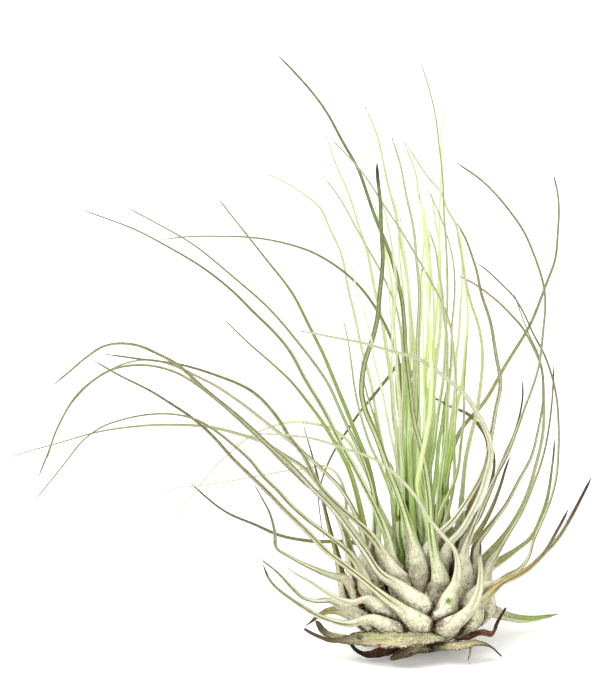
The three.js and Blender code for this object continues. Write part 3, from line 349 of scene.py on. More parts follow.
HEART_FRONT = [
    ("a", "green", (-50, 28, 4.5), 20,
     "-4.2,45 -4.2,60 -4.4,72 -4.9,84 -6.2,91.3 -8.1,95.9 -13,105.3 -20,118 -25.8,126.3"),
    ("b", "silver", (10, 29, 3), -24,
     "-0.4,45 -0.5,60 -0.4,75 0.2,90 0,100 -1,109.5 -3,120.5 -4.5,127.5 -7,136.5"),
    ("c", "green", (60, 29, 3.4), -5,
     "3,45 4.5,54 5.6,62 6.7,72 7.4,80 7.8,90 7.8,100 7.4,110 6.7,122.5 6,131 5,141 3,149 0.7,156.8"),
    ("d", "lime", (-20, 29, 3.4), -10, "-2.2,48 -2.4,62 -2.2,76 -2.3,88 -3,99 -4,108 -5,115"),
    ("e", "lime", (30, 28, 4.8), -12, "0.2,48 0.3,62 0.2,76 0.6,88 0.9,98 1.4,108 1.2,116 0.6,121"),
    ("f", "pale", (-35, 28, 5), -30,
     "-4.6,50 -5,64 -6,76 -6.4,85 -6.2,93 -6.3,101 -6.9,108 -8.2,114 -9.5,119"),
    ("g", "green", (44, 28, 5), -66, "6,44 7.4,54 8,66 7.9,78 7,90 5.7,100 4.2,108 3,111.5"),
    ("h", "dark", (72, 28, 5), -35, "7,36 10.5,46 12,57 12.4,68 13,78 13.2,83"),
    ("i", "green", (-62, 28, 5), -20, "-6,36 -9.5,46 -13,54 -15.8,62 -17,68 -17.8,74 -19,82 -20.5,88"),
    ("j", "pale", (-76, 28, 5), -60,
     "-4.5,40 -6,50 -8,60 -9.8,68 -11.5,76 -13.6,86 -15.7,93 -18.5,103 -20.8,112"),
    ("k", "lime", (95, 28.5, 4), -52, "1.2,45 1.6,58 1.4,72 1.2,86 1.4,96 1.9,106 1.6,114 0.8,119.5"),
    ("l", "pale", (-95, 28, 4.6), -20, "-5.4,42 -6,56 -6.8,70 -7.2,84 -7.8,96 -9.2,106 -10.8,113"),
    ("m", "lime", (25, 28, 5.4), -70, "1,44 2.6,56 3.6,68 3.4,80 2.6,92 1.2,101"),
]
HEART_BACK = [
    ("a", "pale", (-170, 29, 3), 14,
     "-1.2,45 -1,60 -1.1,75 -1.6,85 -2.7,95 -3.7,103 -5,110.5 -8,123.5 -10,132.5 -12,139.5 -14.3,145"),
    ("b", "lime", (120, 29, 3.6), 30,
     "1.4,46 1.8,56 2.4,64 3.5,72 4.3,80 5,90 5.6,100 5.8,110 5.9,118 6.2,130 6.9,145.5"),
    ("c", "olive", (100, 28, 5), 10,
     "5,40 6.5,50 7.5,60 8.2,68 8.9,76.4 9.2,84.5 9.7,92.3 9.7,98 9.2,104.8 7.6,111 5.7,115.8 "
     "1.6,123.9"),
    ("d", "lime", (-140, 28, 4.6), 45, "-3,46 -3,60 -3.3,74 -3.8,86 -4.4,97 -5,106 -5.7,114 -6.2,120"),
    ("e", "lime", (160, 28, 5), 66, "2,46 2.2,58 2,70 2.6,82 2.8,92 2.7,102 2.2,111 1.5,118"),
    ("f", "pale", (145, 28, 5), 48, "3.2,46 4,56 4.3,68 4.4,80 4.2,92 3.6,100 3.3,108"),
    ("g", "lime", (128, 28, 5.4), 60, "7,42 9,54 11,66 12.8,78 13.4,88 12.9,96 12.2,104 11.2,112.5"),
    ("h", "green", (-110, 28, 5), 35, "-5.5,38 -8,47 -10.6,56 -12.8,64 -14.6,71.5 -15.5,77"),
    ("i", "dark", (-125, 28, 5), 26,
     "-4.6,38 -4.4,50 -4.6,64 -5.4,77.2 -8.1,84.8 -13,92.5 -20,100.2 -28,105.2 -36.5,108 -47,109.6 "
     "-57.5,109.9 -69.4,108.8"),
    ("j", "pale", (-158, 28, 5), 60,
     "-3,38 -5,50 -6.6,62 -7.5,72 -9,82 -10.8,91.5 -12.4,99 -15,109.5 -17.5,117.5 -22,129 -25,137"),
    ("k", "olive", (82, 28, 5.2), -40,
     "7.2,36 9,46 9.8,58 10,73.7 9.2,81.8 7.6,88.8 4.9,95 1.6,101 -3.5,109 -8.9,117.7 -14.3,125.6 "
     "-19.7,132.3 -23.8,136.6"),
    ("l", "green", (-160, 28, 5.2), 74, "-2.8,44 -3,58 -3.2,70 -3.4,82 -4.4,92 -6,101 -8.6,108"),
    ("m", "pale", (155, 28.5, 4.2), 38, "1.8,46 3.2,60 4.9,74 5.9,86 6.1,97 5.7,107 4.6,115 3.6,121.5"),
    ("n", "lime", (-150, 28, 5), 52, "-3,44 -4.4,56 -5.6,68 -6.2,80 -6.8,92 -8,102 -9.8,111 -11.6,118"),
    ("o", "pale", (140, 28, 5.4), 72, "6,40 8.4,52 9.6,64 10.4,76 11.3,88 11.9,98 11.9,107"),
]
EYE_TILT = math.radians(15)
EYE_DISTANCE = 1100
VIEW_MIDDLE = np.array([-31.9, 81.4])  # the point that the eye looks at
BULB_RADIUS = 19.5
ROOT_OUT = 0.34  # radius of a sheath's root on the stem, as a share of its seat's radius
ROOT_OUT_LEAST = 1.2
ROOT_DROP = 0.42  # height lost for each mm from the seat in to the root
ROOT_SINK = {"outer": 1.2, "front": 3, "back": 3}
ROOT_HEIGHT_LEAST = 1.6
BELLY_OUT = 0.62  # place of a sheath's belly, as shares of the way from its root to its seat
BELLY_UP = 0.45
SHEATH_LEAST = 0.42  # share of the full sheath size on the axis of the bulb
SAMPLES = 90
LEAN_LEAST = 1.25  # power by which a blade bends away in depth
LEAN_SPREAD = 0.75
GOLDEN_SHARE = 0.618
SHARES = np.linspace(0, 1, SAMPLES)


def into_object(seen):
    """Points of the part's frame for points of the viewing frame: across, up and away from the eye."""
    k = 1 + seen[:, 2] / EYE_DISTANCE
    across, up = (VIEW_MIDDLE + (seen[:, :2] - VIEW_MIDDLE) * k[:, None]).T
    sin, cos = math.sin(EYE_TILT), math.cos(EYE_TILT)
    return np.stack([across, up * sin + seen[:, 2] * cos, up * cos - seen[:, 2] * sin], -1)


def into_view(x, y, z):
    sin, cos = math.sin(EYE_TILT), math.cos(EYE_TILT)
    depth = y * cos - z * sin
    flat = (np.array([x, y * sin + z * cos]) - VIEW_MIDDLE) / (1 + depth / EYE_DISTANCE) + VIEW_MIDDLE
    return [*flat, depth]


def running_lengths(points):
    steps = np.linalg.norm(np.diff(points, axis=0), axis=1)
    return np.concatenate([[0.0], np.cumsum(steps)])


def smooth_at(points, places):
    """Points of the smooth curve through the given ones, at places along their chords."""
    points = np.asarray(points, float)
    at = running_lengths(points)
    step = np.diff(at)[:, None]
    slopes = np.diff(points, axis=0) / step
    inner = (slopes[:-1] * step[1:] + slopes[1:] * step[:-1]) / (step[:-1] + step[1:])
    tangents = np.concatenate([slopes[:1], inner, slopes[-1:]])
    i = np.clip(np.searchsorted(at, places) - 1, 0, len(points) - 2)
    h = step[i]
    x = (places - at[i])[:, None] / h
    to_next = 3 * x ** 2 - 2 * x ** 3
    leaving = (x ** 3 - 2 * x ** 2 + x) * h
    arriving = (x ** 3 - x ** 2) * h
    straight = points[i] + (points[i + 1] - points[i]) * to_next
    return straight + tangents[i] * leaving + tangents[i + 1] * arriving


def course(row, order, head):
    """Course of one leaf in the viewing frame: root beside the stem, belly, seat, then its blade."""
    name, finish, (azimuth, height, radius), tip_y, drawn = row
    angle = math.radians(azimuth)
    root_radius = max(ROOT_OUT_LEAST, radius * ROOT_OUT)
    root_height = max(ROOT_HEIGHT_LEAST, height - ROOT_DROP * (radius - root_radius) - ROOT_SINK[head])
    belly_radius = root_radius + (radius - root_radius) * BELLY_OUT
    belly_height = root_height + (height - root_height) * BELLY_UP
    sheath = [(root_radius, root_height), (belly_radius, belly_height), (radius, height)]
    controls = [into_view(r * math.sin(angle), -r * math.cos(angle), z) for r, z in sheath]

    blade = [[float(value) for value in point.split(",")] for point in drawn.split()]
    runs = running_lengths(np.array([controls[2][:2]] + [point[:2] for point in blade]))
    lean = LEAN_LEAST + LEAN_SPREAD * ((order * GOLDEN_SHARE) % 1)
    seat_y = -radius * math.cos(angle)
    for (u, v, *y), run in zip(blade, runs[1:]):
        leaning = y[0] if y else seat_y + (tip_y - seat_y) * (run / runs[-1]) ** lean
        controls.append([u, v, leaning / math.cos(EYE_TILT) - v * math.tan(EYE_TILT)])
    control_runs = running_lengths(np.array(controls))
    line = smooth_at(controls, SHARES * control_runs[-1])
    fullness = SHEATH_LEAST + (1 - SHEATH_LEAST) * radius / BULB_RADIUS if head == "outer" else 1
    return {"name": name, "finish": finish, "head": head, "order": order, "line": line,
            "seat": control_runs[2] / control_runs[-1], "fullness": fullness}


# Leaves that would run through each other are bent apart, mostly in depth. Each pass pushes the close
# samples of two blades apart and spreads the push along them, widely at first and narrowly at last.
PASSES = 140
SPREAD_FIRST = 120  # rounds of smoothing
SPREAD_LAST = 12
PUSH_MOST = 1.6
PUSH_SHARE = 0.5
APART_LEAST = 0.01
ACROSS_VIEW = np.array([0.45, 0.45, 1])  # share of a push that is kept across, up and in depth
STIFF_RUN = 0.02  # a blade stays in place up to here beyond its seat, as a share of the leaf's length,
FREE_RUN = 0.2  # and is free from here on
LOOK_AROUND = 3.5
ROOM_FIRST = 2.3  # width that a leaf needs at its root, and at its tip
ROOM_LAST = 0.8
HALF_WIDTHS = (ROOM_FIRST + (ROOM_LAST - ROOM_FIRST) * SHARES) / 2
BLADE_CLEARANCE = 0.5
TINY = 1e-12  # keeps a divisor above nothing


def close_pairs(leaves):
    """Numbers of the samples of two leaves that come near each other as seen, and what they need."""
    flat = np.concatenate([leaf["line"][:, :2] for leaf in leaves])
    owner = np.repeat(np.arange(len(leaves)), SAMPLES)
    head = np.repeat([leaf["head"] for leaf in leaves], SAMPLES)
    half = np.tile(HALF_WIDTHS, len(leaves))
    in_blade = np.concatenate([SHARES >= leaf["seat"] for leaf in leaves])
    pairs = []
    for i in range(len(leaves) - 1):
        one = np.arange(i * SAMPLES, (i + 1) * SAMPLES)[in_blade[i * SAMPLES:(i + 1) * SAMPLES]]
        joined = (head == leaves[i]["head"]) & (head != "outer")
        other = np.flatnonzero((owner > i) & in_blade & ~joined)
        apart = np.linalg.norm(flat[one][:, None] - flat[other][None], axis=-1)
        need = half[one][:, None] + half[other][None] + BLADE_CLEARANCE
        a, b = np.nonzero(apart < need + LOOK_AROUND)
        pairs.append((one[a], other[b], need[a, b]))
    return [np.concatenate(column) for column in zip(*pairs)]


def bend_clear(leaves):
    one, other, need = close_pairs(leaves)
    lines = np.stack([leaf["line"] for leaf in leaves])
    seats = np.array([leaf["seat"] for leaf in leaves])[:, None]
    share = np.clip((SHARES[None] - seats - STIFF_RUN) / (FREE_RUN - STIFF_RUN), 0, 1)
    freedom = (share ** 2 * (3 - 2 * share))[..., None]
    for step in range(PASSES):
        rounds = math.ceil(SPREAD_FIRST + (SPREAD_LAST - SPREAD_FIRST) * step / (PASSES - 1))
        samples = lines.reshape(-1, 3)
        offset = samples[one] - samples[other]
        apart = np.maximum(APART_LEAST, np.linalg.norm(offset, axis=1))
        close = apart < need
        reach = PUSH_SHARE * (need - apart)[close] / apart[close]
        push = offset[close] * ACROSS_VIEW * reach[:, None]
        where = np.concatenate([one[close], other[close]])
        push = np.concatenate([push, -push])
        weakest_first = np.argsort(np.linalg.norm(push, axis=1), kind="stable")
        pushes = np.zeros_like(samples)
        pushes[where[weakest_first]] = push[weakest_first]
        pushes = pushes.reshape(lines.shape)
        strongest = np.linalg.norm(pushes, axis=2).max(1)
        for _ in range(rounds):
            padded = np.concatenate([pushes[:, :1], pushes, pushes[:, -1:]], 1)
            pushes = (padded[:, :-2] + 2 * pushes + padded[:, 2:]) / 4
        peaks = np.maximum(np.linalg.norm(pushes, axis=2).max(1), TINY)
        gain = np.minimum(PUSH_MOST, strongest / peaks)
        lines = lines + gain[:, None, None] * pushes * freedom
    for leaf, line in zip(leaves, lines):
        leaf["line"] = into_object(line)


outer_leaves = [course(row, order, "outer") for order, row in enumerate(LEAVES)]
front_heart = [course(row, order, "front") for order, row in enumerate(HEART_FRONT)]
back_heart = [course(row, order, "back") for order, row in enumerate(HEART_BACK)]
every_leaf = outer_leaves + front_heart + back_heart
bend_clear(every_leaf)

# ---- outer leaves ----
# Forty-seven fleshy leaves in four rings. The sheath is a thick spoon with thin dry margins, pressed
# against its neighbours; above it the leaf narrows to a channelled thread that ends in a soft point.
# A crust of tiny absorbing scales makes the sheath silvery and thins out towards the tip.
SHEATH_WIDTH = 11
SHEATH_THICKNESS = 4.4
SHEATH_TAPER = 17
SHEATH_WIDTHS = [0.8, 0.98, 0.7, 0.35]  # at root, belly, seat and neck
SHEATH_THICKNESSES = [0.7, 0.95, 0.82, 0.5]
BELLY_RUN = 0.5
NECK_RUN = 0.42
SAG = 0.55  # how far a sheath hangs below the line of its blade, as a share of its extra half width
SAG_FROM = 0.5  # share of the sheath beyond which it hangs
CHANNEL_DEPTHS = [0.35, 0.7, 0.85, 0.25]  # at root, seat, start of the blade and tip
CHANNEL_RISE = 0.9
BLADE_WIDTH = 1.95
BLADE_THICKNESS = 1.2
TIP_WIDTH = 0.52
TIP_THICKNESS = 0.36
BLADE_LEAST = 6
THINNING = 1.2  # power by which a blade thins towards its tip
SHEATH_STEP = 0.7  # between rings of points along a sheath, and along a blade
BLADE_STEP = 1.2
TANGENT_REACH = 1.2
FOOT_HEIGHT = 4  # the feet of the inner sheaths reach down between the outer ones, at most to this height
FOOT_DEPTH = 9
FOOT_BEND = 0.8
FOOT_OUT = 0.8
BACK_POINTS = 15
CHANNEL_POINTS = 7
WAVINESS = 0.12  # of the blade
SWAY_RUN = 20  # length in which the waves grow to their full size
WAVES = (3.1, 4.3)  # mm of blade to a radian of its waves, sideways and up
TURNED_ON = 2.4  # radians between the waves of one leaf and the next
GROUND_CLEAR = 0.12
KEELS = [0.7, 0.7, 0.85, 1.2, 0.9]  # power that rounds the back: root, belly, seat, neck, start of the blade
LIP_LEAST = 0.15  # height of the margins and drop of the bed between them, in half heights of the leaf
LIP_RISE = 0.65
BED_MOST = 0.75
BED_DROP = 1.15
BED_WIDTH = 0.82
BED_POWER = 1.7
FOLDS = 7
FOLD_DEPTH = 0.045
FOLD_DRIFT = 0.25
FOLD_WAVE = 2.7
FOLD_FULL = 0.3  # share of the sheath beyond which the folds are full
FOLD_STRENGTHS = [0.4, 1, 1, 0]  # at the root, there, at the seat and at the start of the blade
DENT_DEPTH = 0.04
DENT_WAVE = 1.9
POINT_RUN = 3  # length of the soft point at the tip, and how blunt it is
POINT_LEAST = 0.12
POINT_POWER = 0.6
EASINGS = 6  # rounds that smooth the widths along a leaf
GRAIN_STEP = 7  # mm between the grain of one leaf and the next


def leaf_section(half_width, half_height, channel, keel):
    """Points round one leaf: over the rounded back from edge to edge, then back through the channel."""
    lip = half_height * (LIP_LEAST + LIP_RISE * channel)
    bed = half_height * (BED_MOST - BED_DROP * channel)
    turn = np.linspace(0, math.pi, BACK_POINTS)
    back = np.stack([half_width * np.cos(turn), lip - (half_height + lip) * np.sin(turn) ** keel], -1)
    x = np.linspace(-BED_WIDTH, BED_WIDTH, CHANNEL_POINTS)
    inside = np.stack([half_width * x, bed + (lip - bed) * np.abs(x) ** BED_POWER], -1)
    return np.concatenate([back, inside])


def folds(places, sections, seat, start, phase):
    """Shallow lengthwise folds and dents of a sheath, as shares of its size."""
    turn = np.arctan2(sections[..., 1], sections[..., 0])
    strength = np.interp(places, [0, FOLD_FULL * seat, seat, start], FOLD_STRENGTHS)[:, None]
    drift = FOLD_DRIFT * np.sin(places / FOLD_WAVE + phase)[:, None]
    ridges = FOLD_DEPTH * np.cos(FOLDS * turn + phase + drift)
    dents = DENT_DEPTH * np.sin(places[:, None] / DENT_WAVE + 2 * turn + phase)
    return strength * (ridges + dents)


def smoothed(values, rounds):
    for _ in range(rounds):
        padded = np.concatenate([values[:1], values, values[-1:]])
        values = (padded[:-2] + 2 * values + padded[2:]) / 4
    return values


def frames_along(line, places, inward):
    """Point, direction, channel side and crossways direction at places along a line."""
    total = running_lengths(line)[-1]
    here = smooth_at(line, places)
    ahead = smooth_at(line, np.clip(places + TANGENT_REACH, 0, total))
    behind = smooth_at(line, np.clip(places - TANGENT_REACH, 0, total))
    tangents = ahead - behind
    tangents /= np.linalg.norm(tangents, axis=1)[:, None]
    normals = np.empty_like(tangents)
    normal = np.array(inward, float)
    for k, tangent in enumerate(tangents):
        normal = normal - tangent * normal.dot(tangent)
        normal /= np.linalg.norm(normal)
        normals[k] = normal
    return here, tangents, normals, np.cross(tangents, normals)


def rings_round(here, sides, normals, sections):
    """Points of flat sections that stand across a line."""
    return here[:, None] + sides[:, None] * sections[..., :1] + normals[:, None] * sections[..., 1:]


def grained(crossways, places, shift):
    """Place of each point in the leaf's grain: across it, and along it."""
    return np.stack([crossways + shift, 0 * crossways, 0 * crossways + places[:, None]], -1)


# Leaves whose tips have died back, with the length that has browned.
WITHERED = {"leaf_02": 6, "leaf_03": 5, "leaf_04": 7, "leaf_05": 14, "leaf_08": 8, "leaf_18": 18,
            "leaf_19": 9, "leaf_38": 9, "leaf_41": 16, "leaf_46": 10, "leaf_14": 5, "leaf_21": 4,
            "leaf_24": 3, "leaf_33": 6, "leaf_47": 8}
WITHERED_LEAST = 1.2
FRESH_FINISHES = ("pale", "lime")
FRESH_LEAST = 0.01


def withered(name, finish, to_tip):
    least = FRESH_LEAST if finish in FRESH_FINISHES else WITHERED_LEAST
    return np.clip(1 - to_tip / WITHERED.get(name, least), 0, 1)


# Leaves with thinner blades than the rest, as a share of the full blade, and the stouter end that a
# blade keeps where a long piece of it has dried.
SLENDER = {"leaf_06": 0.85, "leaf_08": 0.85, "leaf_10": 0.75, "leaf_11": 0.75, "leaf_12": 0.6,
           "leaf_17": 0.6, "leaf_19": 0.85, "leaf_20": 0.8, "leaf_21": 0.8, "leaf_22": 0.75,
           "leaf_23": 0.6, "leaf_31": 0.7, "leaf_32": 0.85, "leaf_34": 0.55, "leaf_35": 0.55,
           "leaf_42": 0.75, "leaf_43": 0.75, "leaf_45": 0.85}
DRIED_LENGTH = 9
DRIED_TIP = 1.7

# One sheath in front has a ragged nick that shows its green flesh.
SCAR_LEAF = "leaf_17"
SCAR_SPOT = np.array([7.34, -18.0, 17.95])
SCAR_REACH = np.array([1.7, 2.4, 1.8])
LIT_FROM = np.array([0, -0.26, 0.97])  # direction of the light, for the painted highlight on the sides that face it and the painted shade on the sides turned away


def scarred(name, rings):
    near = 1 - np.linalg.norm((rings - SCAR_SPOT) / SCAR_REACH, axis=-1)
    return np.clip(near, 0, 1) * (name == SCAR_LEAF)


def lower_foot(leaf):
    """Course of the leaf with its foot reaching down between the sheaths round it."""
    line = leaf["line"]
    runs = running_lengths(line)
    seat = runs[round(leaf["seat"] * (SAMPLES - 1))]
    sunk = np.clip(1 - runs / seat, 0, 1)[:, None]
    low = np.clip(line[0][2] - FOOT_HEIGHT, 0, FOOT_DEPTH)
    line = line - [0, 0, 1] * sunk ** FOOT_BEND * low
    return line * (1 + [1, 1, 0] * sunk ** 2 * low / FOOT_DEPTH * FOOT_OUT)


def tapered(places, knots, sheath_sizes, size, tip_size, start):
    """Widths or thicknesses of a leaf: of its sheath by the knots, then thinning to its tip."""
    blade = np.clip((places - start) / (places[-1] - start), 0, 1)
    thinning = (1 - blade) ** THINNING
    sizes = np.interp(places, knots, sheath_sizes + [size])
    sizes = np.where(places < start, sizes, tip_size + (size - tip_size) * thinning)
    point = np.clip((places[-1] - places) / POINT_RUN, POINT_LEAST, 1) ** POINT_POWER
    return smoothed(sizes, EASINGS) * point


def grow_leaf(leaf, width, thickness, taper, blade_width, blade_thickness):
    """Adds to the leaf its rings of points, the frames and sizes along it, and its measures."""
    line = lower_foot(leaf)
    runs = running_lengths(line)
    seat = runs[round(leaf["seat"] * (SAMPLES - 1))]
    total = runs[-1]
    start = min(seat + taper, total - BLADE_LEAST)
    sheath_count = math.ceil(start / SHEATH_STEP)
    blade_count = math.ceil((total - start) / BLADE_STEP)
    sheath_places = np.linspace(0, start, sheath_count, endpoint=False)
    places = np.concatenate([sheath_places, np.linspace(start, total, blade_count)])

    knots = [0, seat * BELLY_RUN, seat, seat + (start - seat) * NECK_RUN, start]
    slender = SLENDER.get(leaf["name"], 1)
    blade_width *= slender
    blade_thickness *= slender
    stout = DRIED_TIP if WITHERED.get(leaf["name"], 0) >= DRIED_LENGTH else 1
    full = width * leaf["fullness"]
    deep = thickness * leaf["fullness"]
    sheath_widths = [share * full for share in SHEATH_WIDTHS]
    sheath_heights = [share * deep for share in SHEATH_THICKNESSES]
    widths = tapered(places, knots, sheath_widths, blade_width, stout * TIP_WIDTH, start)
    heights = tapered(places, knots, sheath_heights, blade_thickness, stout * TIP_THICKNESS, start)
    channels = np.interp(places, [0, seat, start, total], CHANNEL_DEPTHS)
    keels = np.interp(places, knots, KEELS)

    inward = [-line[0][0], -line[0][1], 0]
    inward = np.array(inward) / np.linalg.norm(inward) + [0, 0, CHANNEL_RISE]
    here, tangents, normals, sides = frames_along(line, places, inward)
    phase = leaf["order"] * TURNED_ON
    sway = WAVINESS * np.clip((places - start) / SWAY_RUN, 0, 1)
    hanging = np.interp(places, [SAG_FROM * seat, seat], [0, 1])
    hang = SAG * np.clip(widths - blade_width, 0, None) / 2 * hanging
    here = here - sides * (sides[:, 2] * hang)[:, None]
    here = here + sides * (sway * np.sin(places / WAVES[0] + phase))[:, None]
    here = here + normals * (sway * np.sin(places / WAVES[1] + 2 * phase))[:, None]
    sections = np.stack([leaf_section(*sizes) for sizes in zip(widths / 2, heights / 2, channels, keels)])
    sections *= 1 + folds(places, sections, seat, start, phase)[..., None]
    rings = rings_round(here, sides, normals, sections)

    reach = np.interp(places, [0, seat, start, total], [0, 1, 2, 3])
    in_channel = np.repeat([0.0, 1.0], [BACK_POINTS, CHANNEL_POINTS])
    crossways = sections[..., 0]
    edge = np.abs(crossways) / (widths / 2)[:, None]
    turn = np.arctan2(sections[..., 1] / (heights / 2)[:, None], crossways / (widths / 2)[:, None])
    wither = withered(leaf["name"], leaf["finish"], total - places)
    out = rings - here[:, None]
    leaf.update(
        here=here, tangents=tangents, normals=normals, sides=sides, halves=widths / 2,
        depths=heights / 2, rings=rings, reach=reach,
        measures={
            "reach": np.broadcast_to(reach[:, None], edge.shape),
            "channel": np.broadcast_to(in_channel, edge.shape),
            "wither": np.broadcast_to(wither[:, None], edge.shape),
            "edge": edge,
            "rim": np.abs(np.sin(2 * turn)),
            # upper: how far a point faces the light, which places the painted highlight and shade
            "upper": out @ LIT_FROM / np.linalg.norm(out, axis=-1),
            "scar": scarred(leaf["name"], rings),
            "grain": grained(crossways, places, GRAIN_STEP * leaf["order"]),
            "tone": np.full(edge.shape, (leaf["order"] * GOLDEN_SHARE) % 1),
            "young": np.full(edge.shape, leaf["young"]),
            "crease": np.zeros(edge.shape),
        })


# Sheaths that would run into each other are pressed flat where they meet, as in the real bulb.
PRESSED_GAP = 0.08  # left between two pressed sheaths, as a share of their half sizes
PRESS_STEPS = np.linspace(0.1, 1, 11)
CREASE_REACH = 1.55  # how near a neighbour's surface has to be for painted shade in the crease between them
PRESSED_REACH = 2.4  # sheaths and the first part of the blades take part
PRESSED_RINGS = 6  # rings that are compared with their neighbours at a time
NEIGHBOUR = 13
CELL_HALF = 1.5 * SHEATH_STEP  # half the length of leaf that one ring stands for


def cells_of(leaves):
    """Middle, frame and half sizes of every ring in the sheaths, to tell whose side a point is on."""
    parts = {label: [] for label in ("here", "tangents", "normals", "sides", "halves", "depths")}
    owners = []
    for number, leaf in enumerate(leaves):
        pressed = leaf["reach"] < PRESSED_REACH
        owners.append(np.full(int(pressed.sum()), number))
        for label, collected in parts.items():
            collected.append(leaf[label][pressed])
    cells = {label: np.concatenate(collected) for label, collected in parts.items()}
    cells["owner"] = np.concatenate(owners)
    return cells


def depth_inside(points, cells, chosen):
    """1 on the surface of the nearest chosen sheath, less inside it; also the cell that is nearest."""
    here = cells["here"][chosen]
    reaches = {"sides": cells["halves"][chosen], "normals": cells["depths"][chosen],
               "tangents": np.full(len(chosen), CELL_HALF)}
    squares = np.zeros((len(points), len(chosen)))
    for label, size in reaches.items():
        axis = cells[label][chosen] / size[:, None]
        squares += (points @ axis.T - (here * axis).sum(1)) ** 2
    nearest = squares.argmin(1)
    return np.sqrt(squares[np.arange(len(points)), nearest]), chosen[nearest]


def press(leaves):
    cells = cells_of(leaves)
    for number, leaf in enumerate(leaves):
        pressed = int((leaf["reach"] < PRESSED_REACH).sum())
        rings, here = leaf["rings"][:pressed], leaf["here"][:pressed]
        share = np.ones(rings.shape[:2])
        for first in range(0, pressed, PRESSED_RINGS):
            some = slice(first, min(first + PRESSED_RINGS, pressed))
            near = np.linalg.norm(cells["here"] - here[some].mean(0), axis=1) < NEIGHBOUR
            chosen = np.flatnonzero(near & (cells["owner"] != number))
            if len(chosen):
                crease, share[some] = meeting(rings[some], here[some], cells, chosen)
                leaf["measures"]["crease"][some] = crease
        eased = smoothed(smoothed(share, 2).T, 1).T
        share = np.minimum(share, eased)
        leaf["rings"][:pressed] = here[:, None] + (rings - here[:, None]) * share[..., None]
    for leaf in leaves:
        leaf["rings"][..., 2] = np.maximum(leaf["rings"][..., 2], GROUND_CLEAR)


def meeting(rings, here, cells, chosen):
    """How deep each point lies in a crease, and the share of its reach that its neighbours leave it."""
    points = rings.reshape(-1, 3)
    centres = np.repeat(here, rings.shape[1], axis=0)
    inside = depth_inside(points, cells, chosen)[0]
    crease = np.clip((CREASE_REACH - inside) / (CREASE_REACH - 1), 0, 1)
    share = np.ones(len(points))
    meets = np.flatnonzero(inside < 1 + PRESSED_GAP)
    start, end = centres[meets], points[meets]
    room = np.stack([depth_inside(start + (end - start) * step, cells, chosen)[0] - step
                     for step in PRESS_STEPS], 1) - PRESSED_GAP
    share[meets] = first_crossing(room)
    return crease.reshape(rings.shape[:2]), share.reshape(rings.shape[:2])


def first_crossing(room):
    """Step at which the room first runs out, between the steps of PRESS_STEPS."""
    out = room < 0
    first = np.where(out.any(1), out.argmax(1), len(PRESS_STEPS))
    share = np.ones(len(room))
    some = (first > 0) & (first < len(PRESS_STEPS))
    rows, k = np.flatnonzero(some), first[some]
    before, after = room[rows, k - 1], room[rows, k]
    share[rows] = PRESS_STEPS[k - 1] + (PRESS_STEPS[k] - PRESS_STEPS[k - 1]) * before / (before - after)
    share[first == 0] = PRESS_STEPS[0]
    return share


# The heart leaves are grown here too, because the upper ring is pressed against them.
HEART_SHEATH_WIDTH = 4.8
HEART_SHEATH_THICKNESS = 3
HEART_SHEATH_TAPER = 13
HEART_BLADE_WIDTH = 1.6
HEART_BLADE_THICKNESS = 1.0
for leaf in outer_leaves:
    leaf["young"] = 0.0
    grow_leaf(leaf, SHEATH_WIDTH, SHEATH_THICKNESS, SHEATH_TAPER, BLADE_WIDTH, BLADE_THICKNESS)
for leaf in front_heart + back_heart:
    leaf["young"] = 1.0
    grow_leaf(leaf, HEART_SHEATH_WIDTH, HEART_SHEATH_THICKNESS, HEART_SHEATH_TAPER,
              HEART_BLADE_WIDTH, HEART_BLADE_THICKNESS)
press(every_leaf)

# Paints of a living leaf: sheath, middle of the blade, the painted shade on its flanks (a silvery rim on the
# lime leaves), tip, bed of the channel, share covered by scales, and how strongly the flank paint shows.
LEAF_PAINTS = {
    "silver": ("#dedbc4", "#e6e6ce", "#4a4c0c", "#76763e", "#a2aa56", 1.0, 1.0),
    "olive": ("#dad4b8", "#dedeb4", "#3e3e06", "#5c5828", "#8c9430", 0.9, 1.0),
    "green": ("#dbdfb8", "#e4ecb6", "#3a4e04", "#566222", "#88aa28", 0.8, 1.0),
    "lime": ("#d6e884", "#e2f09c", "#e2eac4", "#c2d092", "#b0d450", 0.3, 0.7),
    "pale": ("#e2e0cc", "#e6e6d2", "#969a5e", "#bcc09c", "#c0c88a", 0.9, 0.75),
    "dark": ("#b8b484", "#98963c", "#38360a", "#3e3a16", "#5e6018", 0.6, 1.0),
    "brown": ("#d2c894", "#bcaa5c", "#503c0c", "#4c381e", "#7a6a24", 0.8, 1.0),
}
ROOT_PAINT = "#8f7a54"
GREEN_TINT = "#b6c480"
TAN_TINT = "#ccbc90"
SCALE_PAINT = "#f4efdc"
# painted highlight on the side of a sheath that faces the light
HIGHLIGHT_PAINT = "#e3dfbd"
# pits of the scale crust, and grey painted shade on the side away from the light
PIT_AND_SHADE_PAINT = "#6c6a42"
# painted shade on the side of a sheath turned away from the light
UNDER_SHADE_PAINT = "#665a28"
# brown painted shade round the creases between sheaths, also standing for their dried margins
FRINGE_SHADE_PAINT = "#5f4414"
# black-brown painted shade deep in the creases between sheaths
CREASE_SHADE_PAINT = "#261806"
SHADED_GREEN = "#6c900c"
YOUNG_PAINT = "#f0f8c6"
HEART_GREEN = "#a2cc3e"
SCAR_PAINT = "#5f8c1c"
WITHERED_PAINT = "#5c3e22"
DEAD_PAINT = "#2e2018"

